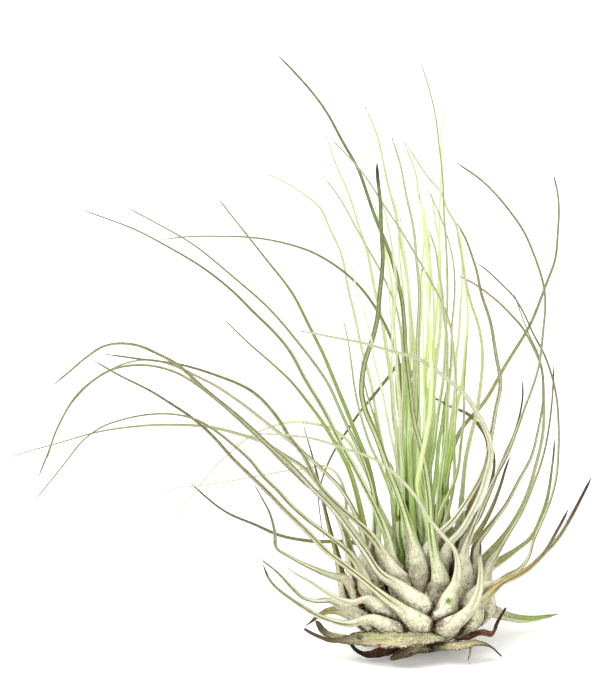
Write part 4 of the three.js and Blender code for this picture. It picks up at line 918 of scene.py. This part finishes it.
# Where one look passes into the next. The reach along a leaf is 0 at its root, 1 at the seat, 2 at the
# start of the blade and 3 at the tip; the edge is 1 at the margins and 0 in the middle.
SKIN_REACH = (0.1, 0.7)
BLADE_REACH = (1.0, 1.8)
TIP_REACH = (1.85, 2.8)
BED_REACH = (0.9, 1.7)
COVER_REACH = (0.9, 1.7)
FLANK_SHADE_REACH = (1.1, 1.9)
HEART_REACH = (2.5, 1.9)
DRY_REACH = (1.35, 0.8)
BED_EDGE = (0.92, 0.6)
DRY_EDGE = (0.78, 1.0)
FLANK_SHADE_RIM = (0.58, 0.98)
LIT_SIDE = (-0.2, 0.9)
UNDER_SHADE_BAND = (0.25, -0.5)
FRINGE_SHADE_BAND = (0.05, 0.6)
CREASE_SHADE_BAND = (0.34, 0.68)
SCAR_EDGE = (0.42, 0.6)
DYING = (0.0, 0.35)
DEAD = (0.3, 0.75)

# The same for the cloudy noise that breaks a look up into patches, lines and flecks.
GREEN_PATCHES = (0.5, 0.66)
TAN_PATCHES = (0.5, 0.37)
PALE_LINES = (0.45, 0.65)
HEART_LINES = (0.35, 0.6)
SHADY_PATCHES = (0.58, 0.4)
CRUST_PATCHES = (0.62, 0.84)
PITS = (0.47, 0.35)
DRY_PATCHES = (0.38, 0.54)

# How much of a leaf's own paint each look takes away.
TONE_SHARE = 0.3
YOUNG_SHARE = 0.45
LINE_SHARE = 0.45
BED_SHARE = 0.85
HIGHLIGHT_SHARE = 0.7
UNDER_SHADE_SHARE = 0.85
HEART_SHARE = 0.65
SHADE_SHARE = 0.5
PIT_SHARE = 0.65
FRINGE_SHADE_SHARE = 0.8
SHADY_MOST = 1.25  # of the pits and the painted shade on the side away from the light
PATCH_SHARE = 0.5  # of the coarse patches beside the flecks, in the crust
BLADE_COVER = 0.15  # scales on a blade for each on its sheath
RAGGED = 0.8  # how far the flecks roughen the line of a crease, and of the scar
SCAR_RAGGED = 1.6


def leaf_skin(name, sheath, middle, flank_shade, tip, channel, cover, contrast):
    """Fleshy skin in the leaf's own greens under a crust of silvery scales, dry and brown at margins; painted
    highlight and shade.
    """
    finish, shader = new_finish(name, roughness=0.6)
    labels = ("reach", "edge", "young", "upper", "tone", "rim")
    reach, edge, young, upper, tone, rim = [measured(shader, label) for label in labels]
    lit = graded(shader, upper, LIT_SIDE)
    in_blade = graded(shader, reach, BLADE_REACH)
    in_sheath = sums(shader, "SUBTRACT", 1.0, in_blade)
    paler = times(shader, young, YOUNG_SHARE)
    not_paler = sums(shader, "SUBTRACT", 1.0, paler)
    spot = place(shader)
    streaks = streaked(shader)
    tint = mottle(shader, spot, size=4.5, detail=2.0)
    patch = mottle(shader, spot, size=1.3, detail=2.0)
    flecks = mottle(shader, spot, size=0.27, detail=2.0)

    blade = stain(shader, middle, channel, tone, TONE_SHARE)
    blade = stain(shader, blade, tip, (reach, TIP_REACH))
    blade = stain(shader, blade, YOUNG_PAINT, paler)
    fresh = stain(shader, sheath, GREEN_TINT, (tint, GREEN_PATCHES))
    fresh = stain(shader, fresh, TAN_TINT, (tint, TAN_PATCHES))
    base = stain(shader, ROOT_PAINT, fresh, (reach, SKIN_REACH))
    base = stain(shader, base, blade, in_blade)
    base = stain(shader, base, channel, (streaks, PALE_LINES), LINE_SHARE)
    in_channel = measured(shader, "channel")
    base = stain(shader, base, channel, in_channel, (edge, BED_EDGE), (reach, BED_REACH), BED_SHARE)
    # Painted highlight on the side of each sheath that faces the light.
    base = stain(shader, base, HIGHLIGHT_PAINT, lit, HIGHLIGHT_SHARE, in_sheath)
    # Painted shade: the side of each sheath turned away from the light is painted dark brown.
    base = stain(shader, base, UNDER_SHADE_PAINT, (upper, UNDER_SHADE_BAND), in_sheath, UNDER_SHADE_SHARE)
    base = stain(shader, base, HEART_GREEN, young, (reach, HEART_REACH), (streaks, HEART_LINES), HEART_SHARE)
    # Painted shade along the flanks of the blade; a silvery rim on the lime leaves.
    base = stain(shader, base, flank_shade, (rim, FLANK_SHADE_RIM), contrast, not_paler, (reach, FLANK_SHADE_REACH))

    thinned = {"Value": reach, "From Min": COVER_REACH[0], "From Max": COVER_REACH[1],
               "To Min": cover, "To Max": BLADE_COVER * cover}
    covered = node(shader, "MapRange", thinned).outputs["Result"]
    # Painted shade: grey patches and the pits of the crust are painted stronger on the side away from the
    # light.
    shady = times(shader, sums(shader, "SUBTRACT", SHADY_MOST, lit), covered)
    crust = sums(shader, "ADD", times(shader, patch, PATCH_SHARE), flecks)
    base = stain(shader, base, PIT_AND_SHADE_PAINT, (patch, SHADY_PATCHES), shady, SHADE_SHARE)
    base = stain(shader, base, SCALE_PAINT, (crust, CRUST_PATCHES), covered)
    base = stain(shader, base, PIT_AND_SHADE_PAINT, (flecks, PITS), shady, PIT_SHARE)

    dry_patch = mottle(shader, spot, size=2.4)
    base = stain(shader, base, WITHERED_PAINT, (edge, DRY_EDGE), (reach, DRY_REACH), (dry_patch, DRY_PATCHES))
    # Painted shade in the creases where leaves meet: black-brown deep in each crease and green on the blades.
    # Round it, on the old sheaths, lies a brown band of painted shade that also stands for their dried
    # margins.
    ragged = times(shader, sums(shader, "SUBTRACT", flecks, 0.5), RAGGED)
    crease = sums(shader, "ADD", measured(shader, "crease"), ragged)
    fresh_grown = sums(shader, "MAXIMUM", in_blade, young)
    fringe_shade = sums(shader, "SUBTRACT", FRINGE_SHADE_SHARE, times(shader, fresh_grown, FRINGE_SHADE_SHARE))
    base = stain(shader, base, FRINGE_SHADE_PAINT, (crease, FRINGE_SHADE_BAND), fringe_shade)
    depths = stain(shader, CREASE_SHADE_PAINT, SHADED_GREEN, fresh_grown)
    base = stain(shader, base, depths, (crease, CREASE_SHADE_BAND))
    scar = sums(shader, "ADD", measured(shader, "scar"), times(shader, ragged, SCAR_RAGGED))
    base = stain(shader, base, SCAR_PAINT, (scar, SCAR_EDGE))
    wither = measured(shader, "wither")
    base = stain(shader, base, WITHERED_PAINT, (wither, DYING))
    base = stain(shader, base, DEAD_PAINT, (wither, DEAD))

    shader.inputs["Specular IOR Level"].default_value = 0.3
    shader.inputs["Sheen Weight"].default_value = 0.06
    shader.inputs["Sheen Roughness"].default_value = 0.5
    ribs = relief(shader, streaks, depth=0.25)
    finished(shader, base, relief(shader, flecks, depth=0.22, under=ribs))
    return finish


STREAK_SCALE = (2.6, 1.0, 0.12)  # to a mm across the leaf, through it and along it


def streaked(shader):
    """Fine lines that run along the leaf, in the mm of its own grain."""
    grain = measured(shader, "grain", "Vector")
    stretched = node(shader, "Mapping", {"Vector": grain, "Scale": STREAK_SCALE}).outputs[0]
    return node(shader, "TexNoise", {"Vector": stretched, "Scale": 1.0, "Detail": 3.0}).outputs[0]


leaf_skins = {name: leaf_skin(f"leaf_skin_{name}", *paints) for name, paints in LEAF_PAINTS.items()}


def leaf_piece(name, leaves):
    """One mesh of one or more leaves, each in the skin of its own finish."""
    finishes = sorted({leaf["finish"] for leaf in leaves})
    points, faces, finish_of_face = [], [], []
    for leaf in leaves:
        stations, corners = leaf["rings"].shape[:2]
        own_faces = ring_faces(stations, corners, sum(map(len, points)))
        points.append(leaf["rings"].reshape(-1, 3))
        faces += own_faces
        finish_of_face += [finishes.index(leaf["finish"])] * len(own_faces)
    measures = {}
    for label, values in leaves[0]["measures"].items():
        of_point = values.shape[2:]
        measures[label] = np.concatenate([leaf["measures"][label].reshape(-1, *of_point) for leaf in leaves])
    skins = [leaf_skins[finish] for finish in finishes]
    return surface(name, np.concatenate(points), faces, skins, measures, finish_of_face)


for leaf in outer_leaves:
    fit(leaf_piece(f"{leaf['name']}_thread", [leaf]), leaf["finish"], leaf["name"])

# ---- heart leaves ----
# The youngest leaves, bright green, narrow and still mostly upright, as the growing point in the middle
# of the bulb has pushed them up. At the foot they clasp each other, so each half of them is one piece.
fit(leaf_piece("heart_front", front_heart), "lime", "heart_leaves_front")
fit(leaf_piece("heart_back", back_heart), "green", "heart_leaves_back")

# ---- dead leaves ----
# Old leaves of the lowest ring that have dried to crumpled strips and stay on the stem under the bulb.
# They are papery, grey-green to brown, with lengthwise wrinkles and frayed margins.
UP = (0, 0, 1)
# Name, slot, route of the middle, half widths along it, and the way that its upper side looks.
DEAD_LEAVES = [
    ("dead_leaf_01", "dead",
     [(7, -13, 5), (4.6, -18.8, 8), (0, -21.2, 8.7), (-5, -21.8, 8.6), (-11, -20.6, 8.1),
      (-15.7, -18.8, 7.7), (-20, -16.8, 6.9), (-24, -15.2, 6.2), (-28.4, -14, 7.4), (-30.8, -13.4, 8.6)],
     [0.8, 1.2, 1.8, 2.3, 2.6, 2.5, 2, 0.9, 0.5, 0.4], (0.5, -0.5, 0.7)),
    ("dead_leaf_02", "dead",
     [(4, -9.5, 2.8), (4.8, -14, 4), (7.4, -17.4, 5.4), (11, -18.6, 5.9), (14.6, -17.8, 6.2),
      (18.4, -16.3, 4.8), (21.7, -15, 1.6)],
     [1.5, 1.6, 1.9, 2, 1.3, 0.8, 0.4], (-0.6, 0, 0.8)),
    ("dead_leaf_03", "dead",
     [(1, -9, 2.6), (1.4, -14.2, 3.8), (-0.4, -18.6, 5.4), (-4, -20.6, 4.6), (-8, -20.2, 2.6)],
     [1.5, 1.4, 1.6, 2.3, 0.6], (0.6, 0, 0.8)),
    ("dead_leaf_04", "dead_dark",
     [(-5.6, -5.6, 1.9), (-8, -11, 1.8), (-10.8, -14.2, 2.1), (-14, -15, 1.9), (-16.6, -14.6, 2.9),
      (-18.5, -13.4, 4.6)],
     [1.6, 2, 1.9, 1.5, 0.8, 0.45], (0.5, 0, 0.86)),
    ("dead_leaf_05", "dead_dark",
     [(10, -3, 2.6), (14, -5.4, 3.8), (17.4, -7.4, 5.6), (19.2, -8, 5.3), (20.9, -8.6, 9),
      (23.1, -9, 13)],
     [1.4, 1.5, 1.2, 0.95, 0.7, 0.45], (0, -0.5, 0.86)),
    ("dead_leaf_06", "dead",
     [(4.6, 6.2, 1.9), (10, 13, 0.9), (14.5, 17.5, 0.6), (18.5, 21, 1.2), (20, 25, 3.2)],
     [2, 3.2, 3, 1.8, 0.6], UP),
    ("dead_leaf_07", "dead_dark",
     [(-3, 7.2, 1.9), (-7, 15, 0.8), (-12, 19.4, 0.6), (-18, 21, 1.6), (-22.5, 19.5, 3.6)],
     [2, 3.2, 2.6, 1.6, 0.6], UP),
    ("dead_leaf_08", "dead",
     [(-7.6, 0.8, 1.9), (-15, 1.4, 0.8), (-20.5, 3, 0.6), (-25, 6.4, 1), (-27.4, 10.5, 2.6)],
     [2, 3, 2.6, 1.5, 0.6], UP),
]
PAPER_HALF = 0.17  # half the thickness of a dried leaf
PAPER_STEP = 0.5
PAPER_POINTS = 15  # across the leaf, on each side
PAPER_THINNING = 0.6  # share of the thickness that is lost at the sides
DEAD_TURNED_ON = 1.7  # radians between the waves of one dead leaf and the next
WRINKLE = 0.3
WRINKLE_TURNS = (3.1, 6.3)  # radians to a mm across the leaf, of the coarse and fine wrinkles
WRINKLE_SWAYS = (0.45, 0.7)  # along it
WRINKLE_SWAY = 1.6
WRINKLE_FINE = 0.5
WRINKLE_FADE = 0.6
CURL = 0.55
CURL_TURNS = 0.3
FRAY = 0.1
FRAY_TURNS = (1.9, 0.7)
FOLD_RISE = 0.9  # of the fold down the middle
FOLD_REACH = 0.55
FOLD_TURNS = 0.4
CLEAR_OF_SHEATH = 1.06
CLEARINGS = 3  # rounds
MOVED_LEAST = 0.35
DEAD_NEIGHBOUR = NEIGHBOUR + 14
DEAD_GRAIN_STEP = 5


def along_route(route, step, face):
    """Even places along the smooth line through a route, with its points, sides and normals there."""
    route = np.array(route, float)
    line = smooth_at(route, SHARES * running_lengths(route)[-1])
    total = running_lengths(line)[-1]
    places = np.linspace(0, total, math.ceil(total / step))
    here, _, normals, sides = frames_along(line, places, face)
    return places, here, sides, normals


def dead_leaf_rings(route, half_widths, face, order):
    """Rings round a thin strip that is wrinkled lengthways, curled up at its sides and frayed."""
    places, here, sides, normals = along_route(route, PAPER_STEP, face)
    half = np.interp(places, np.linspace(0, places[-1], len(half_widths)), half_widths)[:, None]
    phase = DEAD_TURNED_ON * order
    x = np.linspace(-1, 1, PAPER_POINTS)
    along = places[:, None]
    fray = np.sin(along * FRAY_TURNS[0] + phase + 2 * np.sign(x))
    frayed = 1 + FRAY * fray * np.sin(along * FRAY_TURNS[1] + 2 * phase + np.sign(x))
    across = half * x * frayed
    sway = WRINKLE_SWAY * np.sin(along * WRINKLE_SWAYS[0] + phase)
    wrinkles = np.sin(across * WRINKLE_TURNS[0] + phase + sway)
    fine = np.sin(across * WRINKLE_TURNS[1] - phase + WRINKLE_SWAYS[1] * along)
    wrinkles = wrinkles + WRINKLE_FINE * fine
    wrinkles = wrinkles * (0.55 + 0.45 * np.sin(along * WRINKLE_FADE + phase))
    fold = FOLD_RISE * np.maximum(0, 1 - np.abs(x) / FOLD_REACH)
    folded = fold * (0.6 + 0.4 * np.sin(along * FOLD_TURNS + phase))
    lift = (WRINKLE * wrinkles + folded) * np.minimum(1, half / 2)
    lift = lift + CURL * (half / 3) * x ** 2 * np.sin(along * CURL_TURNS + phase)
    thin = PAPER_HALF * (1 - PAPER_THINNING * np.abs(x) ** 3) * np.ones_like(across)
    over = np.stack([across, lift + thin], -1)
    under = np.stack([across, lift - thin], -1)[:, ::-1]
    sections = np.concatenate([over, under], 1)
    edge = np.concatenate([x, x[::-1]]) * np.sign(sides[:, 2:])
    return rings_round(here, sides, normals, sections), edge, places, sections[..., 0]


def clear_of_sheaths(rings, cells):
    """Moves points that lie in a sheath out to just over its surface, and keeps them off the ground."""
    points = rings.reshape(-1, 3)
    near = np.flatnonzero(np.linalg.norm(cells["here"] - points.mean(0), axis=1) < DEAD_NEIGHBOUR)
    for _ in range(CLEARINGS):
        inside, cell = depth_inside(points, cells, near)
        caught = inside < CLEAR_OF_SHEATH
        middle = cells["here"][cell[caught]]
        grow = CLEAR_OF_SHEATH / np.maximum(inside[caught], MOVED_LEAST)
        points[caught] = middle + (points[caught] - middle) * grow[:, None]
    points[:, 2] = np.maximum(points[:, 2], GROUND_CLEAR)
    return points


RUSSET = "dead_leaf_05"
LIVING_BAND = (0.6, 1.5)  # bands and shares of the paints, as for a living leaf
LIVING_BLOTCH = 2.0
DARK_LINES = (0.56, 0.4)
DARK_LINE_SHARE = 0.5
BROWN_ALONG = (0.55, 0.85)
BROWN_PATCHES = (0.4, 0.28)
BROWN_SHARE = 0.92
MARGIN_BAND = (0.98, 1.16)
MARGIN_BLOTCH = 0.5
CRUST_FLECKS = (0.5, 0.62)
CRUST_ALONG = (0.9, 0.3)
CRUST_SHARE = 0.7
# Paints of a dried leaf: paper, what is left of its green, its brown parts, and scales.
DRY_PAINTS = {
    "dead": ("#b2a77c", "#9ca668", "#3e260e", "#ddd6bc"),
    "dead_dark": ("#432216", "#6e3a22", "#120a07", "#8b6a4c"),
    "russet": ("#8a5636", "#b58a62", "#3a1a0c", "#c9a98a"),
}


def papery(name, base, living, dark, crust):
    """Dried leaf, blotched with what is left of its green and with brown, pale where scales remain."""
    finish, shader = new_finish(name, roughness=0.78)
    spot = place(shader)
    along = measured(shader, "along")
    side = measured(shader, "edge")
    streaks = streaked(shader)
    blotches = mottle(shader, spot, size=3.5)
    flecks = mottle(shader, spot, size=0.4, detail=2.0)
    green = sums(shader, "ADD", side, times(shader, blotches, LIVING_BLOTCH))
    brown = sums(shader, "ADD", graded(shader, along, BROWN_ALONG), graded(shader, blotches, BROWN_PATCHES))
    blotched = times(shader, blotches, MARGIN_BLOTCH)
    margin = sums(shader, "ADD", sums(shader, "ABSOLUTE", side, 0.0), blotched)
    shade = stain(shader, base, living, (green, LIVING_BAND))
    shade = stain(shader, shade, dark, (streaks, DARK_LINES), DARK_LINE_SHARE)
    shade = stain(shader, shade, dark, brown, BROWN_SHARE)
    shade = stain(shader, shade, dark, (margin, MARGIN_BAND))
    shade = stain(shader, shade, crust, (flecks, CRUST_FLECKS), (along, CRUST_ALONG), CRUST_SHARE)
    ribs = relief(shader, streaks, depth=0.25)
    finished(shader, shade, relief(shader, flecks, depth=0.14, under=ribs))
    return finish


dry_finishes = {slot: papery(f"dried_{slot}", *paints) for slot, paints in DRY_PAINTS.items()}
sheath_cells = cells_of(every_leaf)
for order, (name, slot, route, half_widths, face) in enumerate(DEAD_LEAVES):
    rings, edge, places, crossways = dead_leaf_rings(route, half_widths, face, order)
    points = clear_of_sheaths(rings, sheath_cells)
    grain = grained(crossways, places, DEAD_GRAIN_STEP * order)
    along = np.repeat(places / places[-1], rings.shape[1])
    measures = {"edge": edge, "along": along, "grain": grain.reshape(-1, 3)}
    faces = ring_faces(*rings.shape[:2])
    finish = dry_finishes["russet" if name == RUSSET else slot]
    fit(surface(f"{name}_strip", points, faces, [finish], measures), slot, name)

# ---- root ----
# One wiry brown rootlet that grows out of the stem under the bulb and ends just above the ground. It
# only ever held the plant to a branch, and it is kinked where it let go.
ROOT_ROUTE = [(9.4, -11, 4.6), (11.6, -13.2, 4.6), (12.9, -15.2, 4.8), (13, -21, 4), (12.7, -21.8, 2.4),
              (13.2, -22.2, 1.8)]
ROOT_RADIUS = 0.3
ROOT_CORNERS = 12
ROOT_STEP = 0.3
ROOT_KNOTS = 0.07
KNOT_TURNS = (2.3, 0.9)  # radians to a mm along the root
ROOT_THINNING = 3  # length in which it thins to its tip, and what is left there
ROOT_TIP = 0.3
ROOT_PAINTS = ("#ab946a", "#5a4430", "#cfbc92")


def root_rings():
    places, here, sides, normals = along_route(ROOT_ROUTE, ROOT_STEP, UP)
    turn = np.linspace(0, 2 * math.pi, ROOT_CORNERS, endpoint=False)
    knots = np.sin(places * KNOT_TURNS[0])[:, None] * np.sin(places[:, None] * KNOT_TURNS[1] + turn)
    thinned = np.clip((places[-1] - places) / ROOT_THINNING, ROOT_TIP, 1)
    radius = ROOT_RADIUS * thinned[:, None] + ROOT_KNOTS * knots
    return rings_round(here, sides, normals, np.stack([radius * np.cos(turn), radius * np.sin(turn)], -1))


root = root_rings()
root[..., 2] = np.maximum(root[..., 2], GROUND_CLEAR)
root_faces = ring_faces(*root.shape[:2])
wiry = woody("root_skin", *ROOT_PAINTS)
fit(surface("rootlet", root.reshape(-1, 3), root_faces, [wiry], {}), "dead", "root")

# ---- absorbing scales ----
# The silvery fur of the plant: tiny shield-shaped scales that stand up from the sheaths and the lower
# blades and take in water. Each ring of leaves carries its own coat.
SCALES_EACH = 620  # on one outer leaf
SCALES_HEART = 260
SCALE_SIZES = {"length": 0.42, "spread": 0.36, "rise": 0.16, "turned": 0.7}
LENGTHS = (0.6, 1.15)  # spread of the lengths and heights about their sizes
RISES = (0.4, 1.3)
HEEL_SHARE = 0.45  # of the length that lies behind and before the foot of a scale
TIP_SHARE = 0.6
FULL_SIZED = 1.6  # half width of leaf on which scales have their full size, and the least share of it
SMALLEST = 0.4
SINK = 0.03
NO_LENGTH = 1e-9
COAT_FROM = 0.45  # reach along a leaf from which there are scales, and from which they thin out
THIN_FROM = 1.2
THIN_OUT = 2.0
THIN_POWER = 1.3
SCALE_SHADES = ("#f1ebda", "#ada57c")


def scale_cover(leaf):
    """How thickly each ring of a leaf is covered with scales."""
    reach = leaf["reach"][:-1]
    thinned = np.exp(-THIN_OUT * np.maximum(0, reach - THIN_FROM) ** THIN_POWER)
    return (thinned * (reach > COAT_FROM))[:, None]


def scale_points(leaf, covered, count, sizes, chance):
    """Points of small pyramids that stand on the leaf: two sides, a heel and a raised tip each."""
    rings = leaf["rings"]
    after = np.roll(rings, -1, axis=1)
    areas = np.linalg.norm(np.cross(rings[1:] - rings[:-1], after[:-1] - rings[:-1]), axis=-1)
    share = (areas * covered).ravel() + TINY
    cells = chance.choice(len(share), count, p=share / share.sum())
    k, c = np.divmod(cells, rings.shape[1])
    s, t = chance.random((2, count, 1))
    next_c = (c + 1) % rings.shape[1]
    near, far = rings[k, c], rings[k + 1, c]
    low = near + (rings[k, next_c] - near) * t
    high = far + (rings[k + 1, next_c] - far) * t
    foot = low + (high - low) * s
    forward = high - low
    forward /= np.linalg.norm(forward, axis=1)[:, None] + NO_LENGTH
    side = rings[k, next_c] - near
    normal = np.cross(forward, side)
    normal /= np.linalg.norm(normal, axis=1)[:, None] + NO_LENGTH
    outward = foot - leaf["here"][k]
    normal *= np.sign(np.einsum("ij,ij->i", normal, outward))[:, None]
    side = np.cross(normal, forward)
    turn = chance.normal(0, sizes["turned"], (count, 1))
    forward, side = forward * np.cos(turn) + side * np.sin(turn), side * np.cos(turn) - forward * np.sin(turn)
    shrink = np.clip(leaf["halves"][k] / FULL_SIZED, SMALLEST, 1)[:, None]
    size = sizes["length"] * chance.uniform(*LENGTHS, (count, 1)) * shrink
    rise = sizes["rise"] * chance.uniform(*RISES, (count, 1)) * shrink
    heel = foot - forward * size * HEEL_SHARE - normal * SINK
    left = foot + side * size * sizes["spread"] - normal * SINK
    right = foot - side * size * sizes["spread"] - normal * SINK
    tip = foot + forward * size * TIP_SHARE + normal * rise
    points = np.stack([heel, left, tip, right], 1)
    points[..., 2] = np.maximum(points[..., 2], GROUND_CLEAR / 2)
    return points.reshape(-1, 3), np.repeat(chance.random(count), 4)


def coat(name, leaves, cover, each, sizes, finish, seed):
    """One mesh of the pyramids on a group of leaves."""
    chance = np.random.default_rng(seed)
    points, shades = zip(*[scale_points(leaf, cover(leaf), each, sizes, chance) for leaf in leaves])
    points = np.concatenate(points)
    heels = np.arange(0, len(points), 4)[:, None]
    corners = np.array([(0, 1, 2), (0, 2, 3), (0, 3, 1), (1, 3, 2)])
    faces = (heels[..., None] + corners).reshape(-1, 3).tolist()
    piece = surface(name, points, faces, [finish], {"shade": np.concatenate(shades)})
    piece.data.polygons.foreach_set("use_smooth", [False] * len(faces))
    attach(piece, "root")


def two_toned(name, paints, roughness):
    """Finish of small grains that lie between two shades."""
    finish, shader = new_finish(name, roughness)
    bright, dull = paints
    shade = stain(shader, dull, bright, measured(shader, "shade"))
    finished(shader, shade, relief(shader, mottle(shader, place(shader), size=0.12), depth=0.03))
    return finish


silvery = two_toned("absorbing_scales", SCALE_SHADES, roughness=0.5)
RING_SIZES = {"lower": 14, "second": 13, "third": 10, "upper": 10}
first = 0
for seed, (ring, size) in enumerate(RING_SIZES.items()):
    ring_leaves = outer_leaves[first:first + size]
    coat(f"scales_{ring}_ring", ring_leaves, scale_cover, SCALES_EACH, SCALE_SIZES, silvery, seed)
    first += size
heart = front_heart + back_heart
coat("scales_heart", heart, scale_cover, SCALES_HEART, SCALE_SIZES, silvery, seed=4)

# ---- torn margins ----
# The thin margins of the sheaths dry out and tear where two sheaths press on each other. What is left
# stands along each crease as a fringe of short brown tatters.
TATTERS_EACH = 260
TATTER_SIZES = {"length": 0.8, "spread": 0.13, "rise": 0.4, "turned": 1.3}
TATTER_SHADES = ("#8d6a3c", "#35200e")
TATTER_BAND = (0.2, 0.8)  # of the crease, and how soft the ends of the band are
TATTER_SOFT = 0.15
TATTER_REACH = (0.5, 1.35)


def tatter_cover(leaf):
    """How thickly the tatters stand: along the creases of the sheath."""
    reach = leaf["reach"][:-1, None]
    crease = leaf["measures"]["crease"][:-1]
    rising = np.clip((crease - TATTER_BAND[0]) / TATTER_SOFT, 0, 1)
    falling = np.clip((TATTER_BAND[1] - crease) / TATTER_SOFT, 0, 1)
    return rising * falling * ((reach > TATTER_REACH[0]) & (reach < TATTER_REACH[1]))


tattered = two_toned("torn_margins", TATTER_SHADES, roughness=0.7)
coat("tatters", outer_leaves, tatter_cover, TATTERS_EACH, TATTER_SIZES, tattered, seed=5)

# ---- studio ----
# A white floor that glows a little, under soft even light from all sides, as in a light tent, and a
# long lens that looks slightly down.
FLOOR_HALF = 4.0
FLOOR_SHADE = 0.96
FLOOR_GLOW = 0.18
TENT_STRENGTH = 1.04
SUN_STRENGTH = 2.0
SUN_SPREAD = math.radians(32)
SUN_DIRECTION = (0.45, 0.55, -1)
WHITE = (1, 1, 1, 1)
PICTURE_HEIGHT = 184.4  # mm of the plant's own plane that the picture shows
SENSOR_HEIGHT = 36
SIGHT = 20  # metres

floor_corners = [(-FLOOR_HALF, -FLOOR_HALF, 0), (FLOOR_HALF, -FLOOR_HALF, 0),
                 (FLOOR_HALF, FLOOR_HALF, 0), (-FLOOR_HALF, FLOOR_HALF, 0)]
floor_mesh = bpy.data.meshes.new("floor")
floor_mesh.from_pydata(floor_corners, [], [(0, 1, 2, 3)])
floor_finish, floor_shader = new_finish("floor_paint", roughness=0.9)
floor_shader.inputs["Base Color"].default_value = (FLOOR_SHADE, FLOOR_SHADE, FLOOR_SHADE, 1)
floor_shader.inputs["Emission Color"].default_value = WHITE
floor_shader.inputs["Emission Strength"].default_value = FLOOR_GLOW
floor_mesh.materials.append(floor_finish)
new_object("floor", floor_mesh)

world = bpy.data.worlds.new("tent")
world.use_nodes = True
world.node_tree.nodes["Background"].inputs["Color"].default_value = WHITE
world.node_tree.nodes["Background"].inputs["Strength"].default_value = TENT_STRENGTH
bpy.context.scene.world = world
bpy.context.scene.view_settings.view_transform = "Standard"

soft_light = bpy.data.lights.new("tent_top", "SUN")
soft_light.energy = SUN_STRENGTH
soft_light.angle = SUN_SPREAD
lamp = new_object("tent_top", soft_light)
lamp.rotation_euler = Vector(SUN_DIRECTION).to_track_quat("-Z", "Y").to_euler()

camera_data = bpy.data.cameras.new("camera")
camera_data.sensor_fit = "VERTICAL"
camera_data.sensor_height = SENSOR_HEIGHT
camera_data.lens = SENSOR_HEIGHT * EYE_DISTANCE / PICTURE_HEIGHT
camera_data.clip_end = SIGHT
camera = new_object("camera", camera_data)
eye = into_object(np.array([[*VIEW_MIDDLE, -EYE_DISTANCE]]))[0]
camera.location = eye * MILLIMETRE
camera.rotation_euler = (math.pi / 2 - EYE_TILT, 0, 0)
bpy.context.scene.camera = camera
